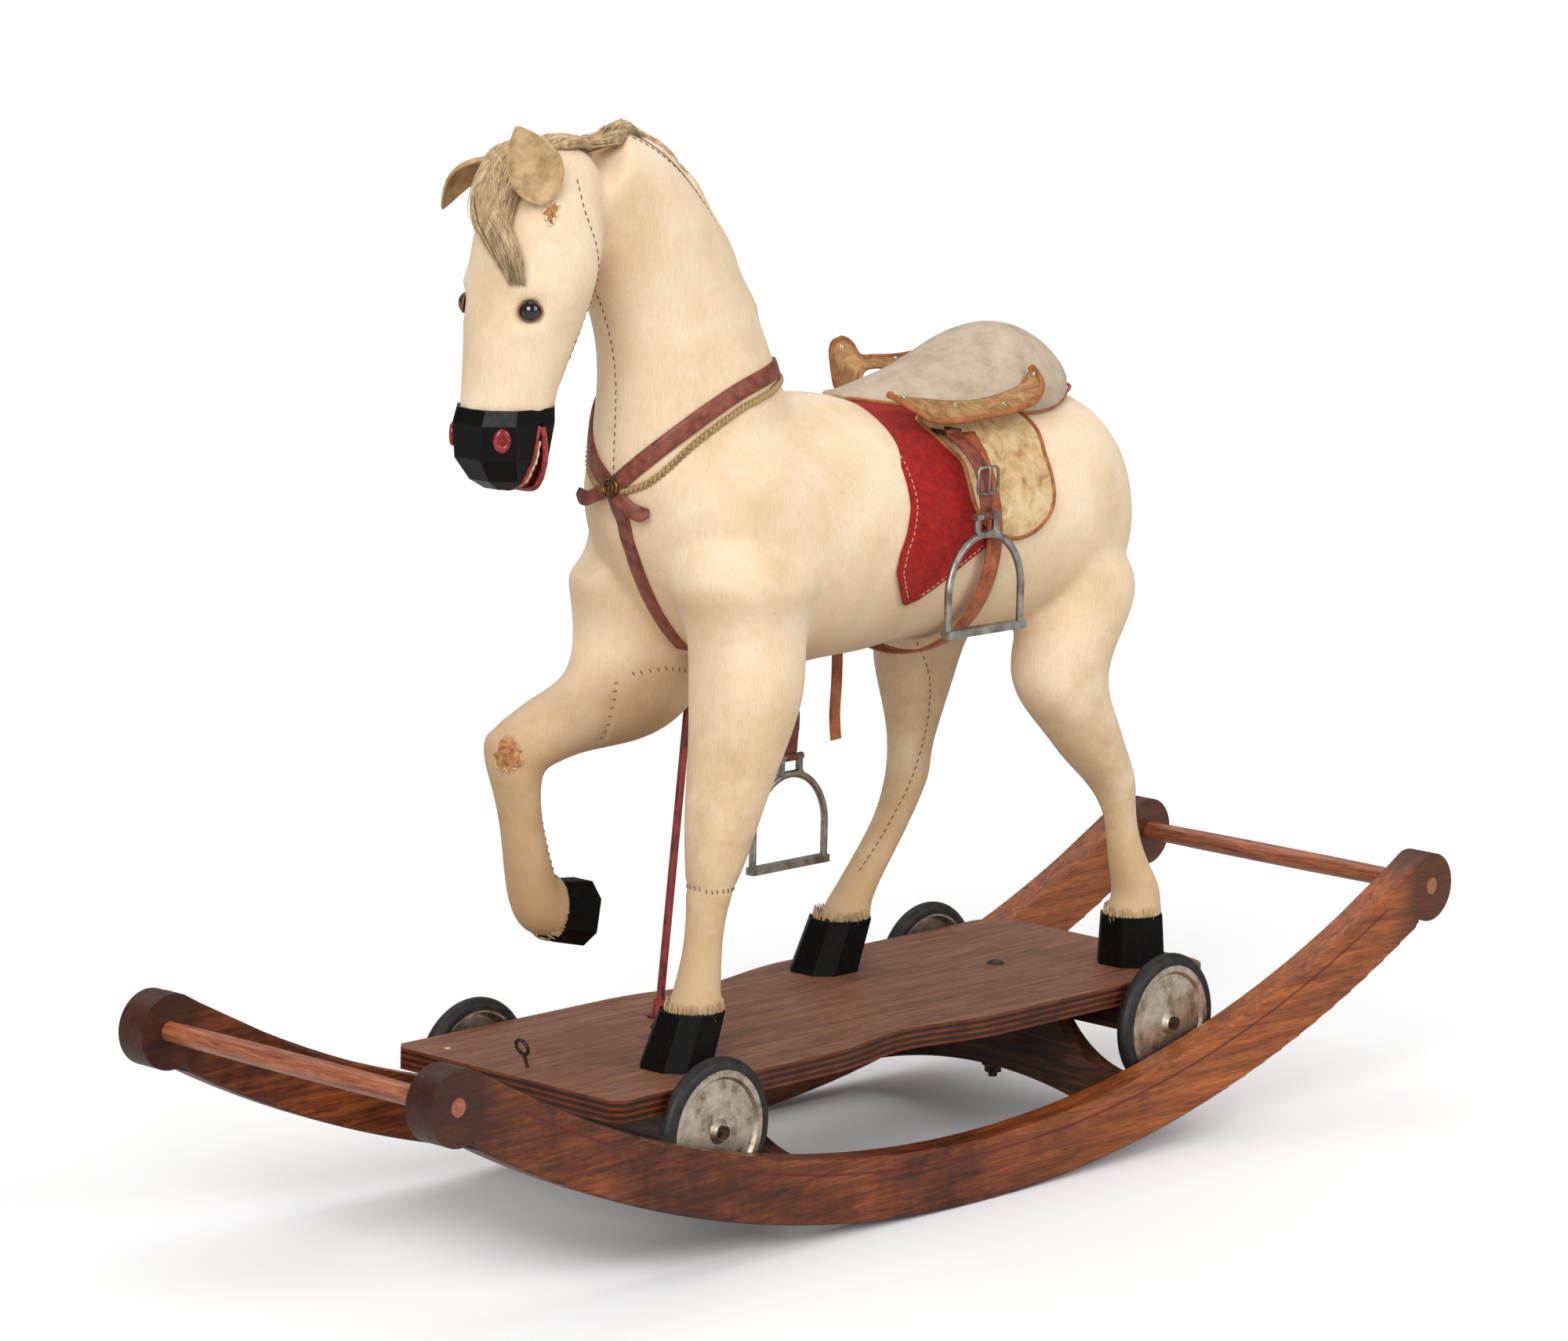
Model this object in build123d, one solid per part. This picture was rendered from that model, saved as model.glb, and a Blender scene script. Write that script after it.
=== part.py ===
from build123d import *

import os
from math import acos, atan2, cos, hypot, radians, sin, sqrt

# Hide-covered rocking horse.
# A stuffed, hide-covered horse with harness and saddle stands on a waisted plywood platform
# with four wheels. Two coach bolts hold the platform on a pair of bow rockers.
# Frame: millimetres, the horse faces -X, its left side is -Y, +Z is up, and the origin is on
# the floor, halfway along and between the rockers, where the bows touch down.

# ---------------------------------------------------------------- driving dimensions
# rockers and the frame between them
ROCKER_RADIUS = 1240.0  # lower edge of the bow
ROCKER_DEPTH = 54.0  # bow height, across the grain
ROCKER_WIDTH = 28.0  # board thickness
ROCKER_GAP = 302.0  # clear width between the two bows
ROCKER_EASE = 2.5  # rounding of the long edges
KNOB_X = 603.0  # round end knob, centre from the middle of the bow
KNOB_Z = 182.0
KNOB_RADIUS = 31.0
KNOB_BLEND_X = 505.0  # where the top edge leaves the arc for the knob
NICK_RADIUS = 3.5  # carved nick below the knob
SCARF_START = 0.0  # stepped lap that joins the two halves of a bow
SCARF_LENGTH = 70.0
RUNG_X = 605.0
RUNG_Z = 183.0
RUNG_DIAMETER = 18.0
TENON_DIAMETER = 15.0
RUNG_WAIST = 0.8  # turned taper of a rung towards its tenons

# cross supports
FRONT_SUPPORT_X = -205.0
REAR_SUPPORT_X = 215.0
SUPPORT_THICKNESS = 22.0
SUPPORT_TOP_HALF = 70.0
SUPPORT_END_TOP = 66.0  # height of the board where it meets the bow
SUPPORT_END_BOTTOM = 25.0
SUPPORT_ARCH_TOP = 52.0
SUPPORT_CONCAVE = 12.0  # how far the swept shoulder hollows below its chord
DOWEL_DIAMETER = 16.0
DOWEL_Z = 43.0
DOWEL_DEPTH = 30.0  # into the board

# platform
PLATFORM_BOTTOM = 122.0
PLATFORM_THICKNESS = 18.0
PLATFORM_FRONT_X = -384.0
PLATFORM_REAR_X = 362.0
PLATFORM_HALF_WIDTH = 129.0
PLATFORM_WAIST_HALF = 113.0
PLATFORM_WAIST_X = -30.0
PLATFORM_WAIST_REACH = 110.0  # half the length of the waist
PLATFORM_CORNER = 34.0  # rear corners
PLATFORM_CLIP = 9.0  # front corners

# wheels and axles
WHEEL_RADIUS = 60.0
TYRE_SECTION = 10.0  # from the disc's rim to the tread
TYRE_WIDTH = 14.0
WHEEL_MID_Y = 139.0
HUB_WIDTH = 19.0
HUB_RADIUS = 8.5
DISC_SHEET = 2.0
AXLE_Z = 102.5
AXLE_DIAMETER = 8.0
AXLE_CLEARANCE = 0.05  # running clearance of the hub on its axle, on the radius
AXLE_SLACK = 0.3  # end play on each side of a hub
RIVET_RADIUS = 5.8
RIVET_HEIGHT = 2.4
FRONT_AXLE_X = -284.0
REAR_AXLE_X = 280.0
BOLSTER_LENGTH_X = 34.0
BOLSTER_BOTTOM = 91.0
AXLE_WASHER_RADIUS = 9.5
AXLE_WASHER_THICKNESS = 2.2

# coach bolts
BOLT_DIAMETER = 8.0
BOLT_FIT = 0.2  # a driven wooden hole is this much larger on the radius
BOLT_HEAD_DIAMETER = 16.5
BOLT_HEAD_HEIGHT = 6.5
BOLT_PROUD = 9.0  # the front bolt has worked up this far
BOLT_TAIL = 4.0
BOLT_WASHER_DIAMETER = 20.0
BOLT_WASHER_THICKNESS = 2.5
NUT_ACROSS_FLATS = 13.0
NUT_HEIGHT = 6.5
SPRING_WASHER_HEIGHT = 4.5

# pull ring: a screwed wire eye at the platform's front
EYE_X = -354.0
EYE_Y = 3.0
EYE_RADIUS = 6.5  # to the middle of the wire
EYE_WIRE = 3.0
EYE_SHANK = 12.0
EYE_SCREW_DEPTH = 12.0
EYE_LEAN = 20.0

# prop rod beside the raised foreleg
PROP_Y = 55.0
PROP_FOOT_X = -150.0
PROP_TOP_X = -118.0
PROP_TOP_Z = 436.0
PROP_DIAMETER = 7.0
PROP_COLLAR_DIAMETER = 11.0
PROP_COLLAR_HEIGHT = 13.0
PROP_FLANGE_DIAMETER = 20.0
PROP_FLANGE_HEIGHT = 2.0

# horse: widths and heights of the stuffed body
BARREL_HALF_WIDTH = 107.0
BARREL_MID_Z = 547.0
BARREL_HALF_HEIGHT = 105.0
HOOF_HEIGHT = 44.0
RAISED_HOOF_HEIGHT = 33.0
HOOF_LENGTH = 56.0
HOOF_WIDTH = 52.0
CUFF_Z = 277.0  # seam of the left foreleg's lower cuff

# saddlery, measured outwards from the barrel
TACK_GAP = 0.3
FELT = 3.0
FLAP_LEATHER = 2.2
STRAP_LEATHER = 2.6
STRAP_WIDTH = 15.0
GIRTH_X = 69.0
GIRTH_WIDTH = 19.0
GIRTH_END_Y = 62.0
GIRTH_END_BOTTOM = 346.0
SKIRT_LEATHER = 2.4
ROSETTE_RADIUS = 8.0
ROSETTE_HEIGHT = 3.5
STUD_RADIUS = 2.6

# stirrups
STIRRUP_WIDTH = 97.0
STIRRUP_HEIGHT = 80.0
STIRRUP_BAR = 6.5
STIRRUP_EYE_WIDTH = 29.0
STIRRUP_EYE_HEIGHT = 15.0
STIRRUP_TREAD_WIDTH = 9.0
STIRRUP_SPRING = 0.4  # share of the height where the arch begins
LEATHER_WIDTH = 14.0
LEATHER_THICKNESS = 2.6
LEATHER_HINGE_Y = 84.0
LEATHER_HINGE_Z = 632.0
LEATHER_HANG_Y = 125.0  # plane in which both stirrups hang
LEFT_STIRRUP_X = 43.0
LEFT_EYE_Z = 566.0
RIGHT_STIRRUP_X = 80.0
RIGHT_EYE_Z = 322.0
HINGE_CLEARANCE = 0.1
SADDLE_BAR_RADIUS = 2.0
SADDLE_BAR_FOOT = 3.0

# head fittings
EYE_BALL_RADIUS = 9.5
EAR_LENGTH = 66.0
EAR_WIDTH = 46.0
EAR_CURL = 24.0
EAR_LEATHER = 2.6

# ---------------------------------------------------------------- derived places
INNER_Y = ROCKER_GAP / 2
OUTER_Y = INNER_Y + ROCKER_WIDTH
PLATFORM_TOP = PLATFORM_BOTTOM + PLATFORM_THICKNESS
DISC_RADIUS = WHEEL_RADIUS - TYRE_SECTION
HUB_INNER_Y = WHEEL_MID_Y - HUB_WIDTH / 2
HUB_OUTER_Y = WHEEL_MID_Y + HUB_WIDTH / 2
WASHER_OUTER_Y = HUB_INNER_Y - AXLE_SLACK
BOLSTER_HALF = WASHER_OUTER_Y - AXLE_WASHER_THICKNESS
RIVET_INNER_Y = HUB_OUTER_Y + AXLE_SLACK
AXLES_X = {"front": FRONT_AXLE_X, "rear": REAR_AXLE_X}
SUPPORTS_X = {"front": FRONT_SUPPORT_X, "rear": REAR_SUPPORT_X}
SIDES = {"left": -1, "right": 1}
HANGING = (Align.CENTER, Align.CENTER, Align.MAX)
STANDING = (Align.CENTER, Align.CENTER, Align.MIN)

BLANKET_OUT = TACK_GAP + FELT
FLAP_IN = BLANKET_OUT + TACK_GAP
FLAP_OUT = FLAP_IN + FLAP_LEATHER
GIRTH_IN = FLAP_OUT + TACK_GAP
GIRTH_OUT = GIRTH_IN + STRAP_LEATHER

nodes = {}
grown_barrels = {}


# ---------------------------------------------------------------- small tools
def bow_z(x, radius):
    """Height of a bow arc of this radius at x, above the floor."""
    return ROCKER_RADIUS - sqrt(radius * radius - x * x)


def board(outline, y_outer, thickness):
    """A side outline in X and Z, thickened from y_outer towards -Y."""
    return extrude(Plane.XZ.offset(-y_outer) * outline, amount=thickness, dir=(0, -1, 0))


def cross_board(outline, x_front, thickness):
    """An end outline in Y and Z, thickened from x_front towards +X."""
    return extrude(Plane.YZ.offset(x_front) * outline, amount=thickness, dir=(1, 0, 0))


def rod_y(x, z, y0, y1, radius):
    """A round rod along Y."""
    return Pos(x, (y0 + y1) / 2, z) * Rot(90, 0, 0) * Cylinder(radius, abs(y1 - y0))


def rod_between(start, end, radius):
    """A round rod from one point to another."""
    a, b = Vector(*start), Vector(*end)
    return extrude(Plane(origin=a, z_dir=b - a) * Circle(radius), amount=(b - a).length)


def rounded(points, radius):
    """A polygon with its corners rounded."""
    outline = make_face(Polyline(*points, close=True))
    return fillet(outline.vertices(), radius)


def upright_oval(x, y, z, length, width):
    """A level oval, for a leg or the head; length and width are half sizes."""
    return Plane(origin=(x, y, z), x_dir=(1, 0, 0), z_dir=(0, 0, 1)) * Ellipse(length, width)


def leaning_oval(x, y, z, lean, length, width):
    """An oval whose normal leans forward from +Z by this many degrees."""
    a = radians(lean)
    plane = Plane(origin=(x, y, z), x_dir=(cos(a), 0, sin(a)), z_dir=(-sin(a), 0, cos(a)))
    return plane * Ellipse(length, width)


def barrel_oval(x, bottom, top, half_width, grow=0.0):
    """A cross-section of the barrel, grown outwards all round."""
    plane = Plane(origin=(x, 0, (bottom + top) / 2), x_dir=(0, 1, 0), z_dir=(1, 0, 0))
    return plane * Ellipse(half_width + grow, (top - bottom) / 2 + grow)


# ---------------------------------------------------------------- rockers
def tangent_point(point, centre, radius):
    """Where the upper tangent from a point to the left of a circle touches it."""
    dx, dz = point[0] - centre[0], point[1] - centre[1]
    angle = atan2(dz, dx) - acos(radius / hypot(dx, dz))
    return centre[0] + radius * cos(angle), centre[1] + radius * sin(angle)


def bow_outline():
    """Side view of a whole rocker: a bow with a round knob and a nick at each end."""
    top_radius = ROCKER_RADIUS - ROCKER_DEPTH
    window = Pos(0, ROCKER_DEPTH) * Rectangle(2 * (KNOB_X - KNOB_RADIUS / 2), 2 * KNOB_Z)
    bow = Pos(0, ROCKER_RADIUS) * (Circle(ROCKER_RADIUS) - Circle(top_radius)) & window
    blend = (KNOB_BLEND_X, bow_z(KNOB_BLEND_X, top_radius))
    touch = tangent_point(blend, (KNOB_X, KNOB_Z), KNOB_RADIUS)
    for side in (-1, 1):
        knob = Pos(side * KNOB_X, KNOB_Z) * Circle(KNOB_RADIUS)
        corners = [blend, touch, (KNOB_X, KNOB_Z), (KNOB_BLEND_X, blend[1] - KNOB_RADIUS / 2)]
        shoulder = make_face(Polyline(*[(side * x, z) for x, z in corners], close=True))
        bow = bow + knob + shoulder
    nick_x = KNOB_X - KNOB_RADIUS / 2
    for side in (-1, 1):
        bow = bow - Pos(side * nick_x, bow_z(nick_x, ROCKER_RADIUS)) * Circle(NICK_RADIUS)
    return bow


def front_half_region():
    """Everything in front of the stepped lap."""
    step_z = ROCKER_DEPTH / 2
    reach = KNOB_X + 2 * KNOB_RADIUS
    height = 2 * KNOB_Z
    front = Pos(SCARF_START, -height) * Rectangle(reach, 3 * height, align=(Align.MAX, Align.MIN))
    tongue = Pos(SCARF_START, step_z) * Rectangle(SCARF_LENGTH, height, align=(Align.MIN, Align.MAX))
    return front + tongue


def build_rockers():
    outline = bow_outline()
    front_region = front_half_region()
    halves = {"front": outline & front_region, "rear": outline - front_region}
    for side, sign in SIDES.items():
        y_high = OUTER_Y if sign > 0 else -INNER_Y
        for end, half in halves.items():
            solid = board(half, y_high, ROCKER_WIDTH)
            long_edges = solid.edges().filter_by(GeomType.CIRCLE).filter_by(
                lambda e: e.radius > ROCKER_RADIUS / 2
            )
            solid = fillet(long_edges, ROCKER_EASE)
            x = RUNG_X if end == "rear" else -RUNG_X
            solid -= rod_y(x, RUNG_Z, sign * INNER_Y, sign * OUTER_Y, TENON_DIAMETER / 2)
            solid -= rod_y(SUPPORTS_X[end], DOWEL_Z, sign * INNER_Y, sign * OUTER_Y, DOWEL_DIAMETER / 2)
            nodes[f"{side}_rocker_{end}"] = solid


def build_rungs():
    """Turned rungs, slightly barrelled between shoulders, with through tenons."""
    r, t = RUNG_DIAMETER / 2, TENON_DIAMETER / 2
    for end, x in (("front", -RUNG_X), ("rear", RUNG_X)):
        swell = ThreePointArc((r - RUNG_WAIST, -INNER_Y), (r, 0), (r - RUNG_WAIST, INNER_Y))
        rest = Polyline(
            (r - RUNG_WAIST, INNER_Y), (t, INNER_Y), (t, OUTER_Y), (0, OUTER_Y),
            (0, -OUTER_Y), (t, -OUTER_Y), (t, -INNER_Y), (r - RUNG_WAIST, -INNER_Y),
        )
        turned = revolve(make_face([swell, rest]), Axis.Y)
        nodes[f"{end}_rung"] = Pos(x, 0, RUNG_Z) * turned


def build_supports():
    """Arched boards with hollow shoulders, dowelled to the bows under the platform."""
    edges = [
        Line((SUPPORT_TOP_HALF, PLATFORM_BOTTOM), (-SUPPORT_TOP_HALF, PLATFORM_BOTTOM)),
        Line((INNER_Y, SUPPORT_END_BOTTOM), (INNER_Y, SUPPORT_END_TOP)),
        Line((-INNER_Y, SUPPORT_END_BOTTOM), (-INNER_Y, SUPPORT_END_TOP)),
        ThreePointArc(
            (-INNER_Y, SUPPORT_END_BOTTOM), (0, SUPPORT_ARCH_TOP), (INNER_Y, SUPPORT_END_BOTTOM)
        ),
    ]
    mid_y = (SUPPORT_TOP_HALF + INNER_Y) / 2 - SUPPORT_CONCAVE / 2
    mid_z = (PLATFORM_BOTTOM + SUPPORT_END_TOP) / 2 - SUPPORT_CONCAVE
    for sign in (-1, 1):
        edges.append(
            ThreePointArc(
                (sign * SUPPORT_TOP_HALF, PLATFORM_BOTTOM),
                (sign * mid_y, mid_z),
                (sign * INNER_Y, SUPPORT_END_TOP),
            )
        )
    outline = make_face(edges)
    dowels = []
    for end, x in SUPPORTS_X.items():
        solid = cross_board(outline, x - SUPPORT_THICKNESS / 2, SUPPORT_THICKNESS)
        for sign in (-1, 1):
            y_in = sign * (INNER_Y - DOWEL_DEPTH)
            dowel = rod_y(x, DOWEL_Z, y_in, sign * OUTER_Y, DOWEL_DIAMETER / 2)
            dowels.append(dowel)
            solid -= dowel
        bolt_hole = Pos(x, 0, (PLATFORM_BOTTOM + SUPPORT_ARCH_TOP) / 2) * Cylinder(
            BOLT_DIAMETER / 2 + BOLT_FIT, PLATFORM_BOTTOM - SUPPORT_ARCH_TOP + BOLT_DIAMETER
        )
        seat = Pos(x, 0, SUPPORT_ARCH_TOP) * Cylinder(
            BOLT_WASHER_DIAMETER / 2 + BOLT_FIT, SUPPORT_END_BOTTOM, align=HANGING
        )
        nodes[f"{end}_cross_support"] = solid - bolt_hole - seat
    nodes["support_dowels"] = Compound(children=dowels)


# ---------------------------------------------------------------- platform and bolts
def platform_outline():
    """Plan of the platform: clipped front corners, waisted sides, round rear corners."""
    w, c, r = PLATFORM_HALF_WIDTH, PLATFORM_CLIP, PLATFORM_CORNER
    waist = (PLATFORM_WAIST_X, PLATFORM_WAIST_HALF)
    start_x = PLATFORM_WAIST_X - PLATFORM_WAIST_REACH
    end_x = PLATFORM_WAIST_X + PLATFORM_WAIST_REACH
    edges = [Line((PLATFORM_FRONT_X, -w + c), (PLATFORM_FRONT_X, w - c))]
    edges.append(Line((PLATFORM_REAR_X, -w + r), (PLATFORM_REAR_X, w - r)))
    lean = r * (1 - sqrt(0.5))
    for s in (-1, 1):
        edges += [
            Line((PLATFORM_FRONT_X, s * (w - c)), (PLATFORM_FRONT_X + c, s * w)),
            Line((PLATFORM_FRONT_X + c, s * w), (start_x, s * w)),
            Spline(
                [(start_x, s * w), (waist[0], s * waist[1]), (end_x, s * w)],
                tangents=[(1, 0), (1, 0)],
            ),
            Line((end_x, s * w), (PLATFORM_REAR_X - r, s * w)),
            ThreePointArc(
                (PLATFORM_REAR_X - r, s * w),
                (PLATFORM_REAR_X - lean, s * (w - lean)),
                (PLATFORM_REAR_X, s * (w - r)),
            ),
        ]
    return make_face(edges)


def build_platform():
    solid = extrude(Plane.XY.offset(PLATFORM_BOTTOM) * platform_outline(), amount=PLATFORM_THICKNESS)
    for x in SUPPORTS_X.values():
        hole = Cylinder(BOLT_DIAMETER / 2 + BOLT_FIT, 2 * PLATFORM_THICKNESS)
        solid -= Pos(x, 0, PLATFORM_BOTTOM + PLATFORM_THICKNESS / 2) * hole
    solid -= eye_screw()
    nodes["platform"] = solid


def coach_bolt(x, head_bottom, head_height):
    """A round-headed bolt through platform and cross support, with its end below the nut."""
    r = BOLT_HEAD_DIAMETER / 2
    ball = (r * r + head_height * head_height) / (2 * head_height)
    cap = Pos(x, 0, head_bottom + head_height - ball) * Sphere(ball)
    above = Pos(x, 0, head_bottom) * Box(4 * r, 4 * r, 4 * r, align=STANDING)
    end_z = SUPPORT_ARCH_TOP - BOLT_WASHER_THICKNESS - NUT_HEIGHT - BOLT_TAIL
    shank = Pos(x, 0, (head_bottom + end_z) / 2) * Cylinder(BOLT_DIAMETER / 2, head_bottom - end_z)
    return (cap & above) + shank


def build_bolts():
    heads = {
        "front": (PLATFORM_TOP + BOLT_PROUD, BOLT_HEAD_HEIGHT),
        "rear": (PLATFORM_TOP, BOLT_HEAD_HEIGHT / 2),
    }
    bolts, nuts, washers = [], [], []
    bore = Cylinder(BOLT_DIAMETER / 2, 4 * NUT_HEIGHT)
    low_z = SUPPORT_ARCH_TOP - BOLT_WASHER_THICKNESS
    for end, x in SUPPORTS_X.items():
        bolts.append(coach_bolt(x, *heads[end]))
        hexagon = RegularPolygon(NUT_ACROSS_FLATS / 2, 6, major_radius=False)
        nut = extrude(Plane.XY.offset(low_z - NUT_HEIGHT) * hexagon, amount=NUT_HEIGHT)
        nuts.append(Pos(x, 0, 0) * (nut - Pos(0, 0, low_z) * bore))
        ring = Pos(0, 0, low_z + BOLT_WASHER_THICKNESS / 2) * Cylinder(
            BOLT_WASHER_DIAMETER / 2, BOLT_WASHER_THICKNESS
        )
        washers.append(Pos(x, 0, 0) * (ring - Pos(0, 0, low_z) * bore))
    collar = Cylinder(BOLT_DIAMETER * 0.72, SPRING_WASHER_HEIGHT) - Cylinder(BOLT_DIAMETER / 2, BOLT_PROUD)
    washers.append(Pos(FRONT_SUPPORT_X, 0, PLATFORM_TOP + SPRING_WASHER_HEIGHT / 2) * collar)
    nodes["coach_bolts"] = Compound(children=bolts)
    nodes["bolt_nuts"] = Compound(children=nuts)
    nodes["bolt_washers"] = Compound(children=washers)


def eye_screw():
    """Wire eye on a short shank, leaning forward, screwed into the platform."""
    ring = Pos(0, 0, EYE_SHANK + EYE_RADIUS) * Rot(0, 90, 0) * Torus(EYE_RADIUS, EYE_WIRE / 2)
    length = EYE_SHANK + EYE_SCREW_DEPTH
    shank = Pos(0, 0, length / 2 - EYE_SCREW_DEPTH) * Cylinder(EYE_WIRE / 2, length)
    return Pos(EYE_X, EYE_Y, PLATFORM_TOP) * Rot(0, -EYE_LEAN, 0) * (ring + shank)


def build_prop():
    foot = (PROP_FOOT_X, PROP_Y, PLATFORM_TOP)
    top = (PROP_TOP_X, PROP_Y, PROP_TOP_Z)
    lift = (Vector(*top) - Vector(*foot)).normalized()
    collar_top = Vector(*foot) + lift * (PROP_COLLAR_HEIGHT + PROP_FLANGE_HEIGHT)
    flange = Pos(PROP_FOOT_X, PROP_Y, PLATFORM_TOP + PROP_FLANGE_HEIGHT / 2) * Cylinder(
        PROP_FLANGE_DIAMETER / 2, PROP_FLANGE_HEIGHT
    )
    start = Vector(*foot) + Vector(0, 0, PROP_FLANGE_HEIGHT / 2)
    rod = rod_between(start, top, PROP_DIAMETER / 2)
    collar = rod_between(start, collar_top, PROP_COLLAR_DIAMETER / 2)
    return flange + rod + collar


# ---------------------------------------------------------------- wheels
def wheel_disc():
    """Pressed disc: flanged rim, groove, dished web and a hub tube; outer face towards +Y."""
    rim, half, t = DISC_RADIUS, TYRE_WIDTH / 2, DISC_SHEET
    bore, hub = AXLE_DIAMETER / 2 + AXLE_CLEARANCE, HUB_RADIUS
    outer_hub, inner_hub = HUB_WIDTH / 2, -HUB_WIDTH / 2
    face = [
        (bore, outer_hub), (hub - t, outer_hub), (hub + t, outer_hub - 2 * t),
        (rim * 0.72, half - 3 * t / 2), (rim * 0.84, half - 3 * t / 2), (rim * 0.89, half - t / 4),
        (rim, half - t / 4), (rim, -half + t / 4), (rim - t, -half + t / 4), (rim - t, half - 2 * t),
        (rim * 0.86, half - 5 * t / 2), (hub + t, half - 5 * t / 2), (hub, inner_hub), (bore, inner_hub),
    ]
    return revolve(make_face(Polyline(*face, close=True)), Axis.Y)


def tyre():
    """Round-shouldered solid rubber ring on the rim."""
    rim, half = DISC_RADIUS, TYRE_WIDTH / 2
    tread = ThreePointArc(
        (rim + TYRE_SECTION / 3, half), (WHEEL_RADIUS, 0), (rim + TYRE_SECTION / 3, -half)
    )
    lip = rim + TYRE_SECTION / 3
    seat = Polyline((lip, half), (rim, half), (rim, -half), (lip, -half))
    return revolve(make_face([tread, seat]), Axis.Y)


def build_running_gear():
    bolsters, axles, washers = [], [], []
    head_y = RIVET_INNER_Y + RIVET_HEIGHT
    for end, x in AXLES_X.items():
        block = Pos(x, 0, (PLATFORM_BOTTOM + BOLSTER_BOTTOM) / 2) * Box(
            BOLSTER_LENGTH_X, 2 * BOLSTER_HALF, PLATFORM_BOTTOM - BOLSTER_BOTTOM
        )
        bolsters.append(block - rod_y(x, AXLE_Z, -BOLSTER_HALF, BOLSTER_HALF, AXLE_DIAMETER / 2))
        axle = rod_y(x, AXLE_Z, -head_y, head_y, AXLE_DIAMETER / 2)
        for side, sign in SIDES.items():
            axle += rod_y(x, AXLE_Z, sign * RIVET_INNER_Y, sign * head_y, RIVET_RADIUS)
            washer = rod_y(x, AXLE_Z, sign * BOLSTER_HALF, sign * WASHER_OUTER_Y, AXLE_WASHER_RADIUS)
            washer -= rod_y(x, AXLE_Z, sign * BOLSTER_HALF, sign * WASHER_OUTER_Y, AXLE_DIAMETER / 2)
            washers.append(washer)
            turn = Pos(x, sign * WHEEL_MID_Y, AXLE_Z) * Rot(0, 0, 0 if sign > 0 else 180)
            nodes[f"{end}_{side}_wheel_disc"] = turn * wheel_disc()
            nodes[f"{end}_{side}_tyre"] = turn * tyre()
        axles.append(axle)
    nodes["axle_bolsters"] = Compound(children=bolsters)
    nodes["axles"] = Compound(children=axles)
    nodes["axle_washers"] = Compound(children=washers)


# ---------------------------------------------------------------- the horse
B, H, M = BARREL_HALF_WIDTH, BARREL_HALF_HEIGHT, BARREL_MID_Z
# barrel stations from chest to rump: x, bottom, top, half width
BARREL = [
    (-260, 574, 622, 0.20 * B),
    (-252, 548, 648, 0.44 * B),
    (-229, 513, 668, 0.70 * B),
    (-195, 474, 680, 0.90 * B),
    (-150, 446, 676, 0.99 * B),
    (-80, M - H - 2, 665, B),
    (0, M - H, M + H + 2, B),
    (95, M - H, M + H, B),
    (170, M - H, M + H + 1, B),
    (232, M - H + 2, 650, 0.94 * B),
    (280, M - H + 8, 634, 0.78 * B),
    (308, 474, 603, 0.54 * B),
    (320, 505, 572, 0.25 * B),
]
# neck stations from inside the shoulders to the poll: x, z, lean, half length, half width
NECK = [
    (-165, 590, 6, 100, 80),
    (-183, 650, 10, 90, 72),
    (-196, 706, 18, 78, 60),
    (-220, 764, 30, 69, 52),
    (-262, 822, 42, 60, 46),
    (-305, 858, 52, 46, 40),
]
# head stations from the poll to the muzzle line: x, z, half length, half width
HEAD = [
    (-346, 882, 18, 16),
    (-347, 870, 36, 33),
    (-351, 842, 50, 43),
    (-360, 800, 54, 48),
    (-370, 757, 52, 46),
    (-381, 716, 45, 40),
    (-391, 680, 38, 34),
]
MUZZLE_TOP_Z = 680.0
MUZZLE_BOTTOM_Z = 615.0


def build_trunk():
    barrel = grown_barrel(0.0)
    neck = loft([leaning_oval(x, 0, z, lean, a, b) for x, z, lean, a, b in NECK])
    head = loft([upright_oval(x, 0, z, a, b) for x, z, a, b in HEAD])
    return barrel, neck, head


def leg(stations, y_of):
    """A leg of level ovals: x, z, half length, half width."""
    return loft([upright_oval(x, y_of(z), z, a, b) for x, z, a, b in stations])


HOOF_TOP = PLATFORM_TOP + HOOF_HEIGHT
LEFT_FORE = [
    (-176, 560, 60, 40), (-174, 500, 60, 46), (-176, 440, 50, 45), (-186, 399, 42, 40),
    (-203, 345, 33, 32), (-217, 298, 25, 24), (-223, CUFF_Z, 20, 19), (-231, 235, 16.5, 16),
    (-237, 205, 20, 19), (-241, HOOF_TOP, 24, 23),
]
LEFT_HIND = [
    (238, 560, 50, 38), (232, 500, 53, 40), (222, 440, 51, 39), (213, 400, 47, 36),
    (231, 368, 41, 33), (250, 344, 35, 29), (269, 320, 29, 25), (284, 298, 21, 19.5),
    (297, 258, 16, 15.5), (307, 225, 20, 19), (310, HOOF_TOP, 25, 23),
]
RIGHT_HIND = [
    (212, 560, 52, 40), (206, 500, 58, 43), (186, 440, 50, 40), (176, 395, 38, 32),
    (178, 352, 26, 23), (177, 322, 21, 19), (173, 292, 19.5, 18.5), (162, 267, 17.5, 17),
    (147, 244, 17, 16.5), (131, 222, 17.5, 17), (117, 202, 19.5, 19), (107, HOOF_TOP, 21.5, 21),
]
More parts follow.
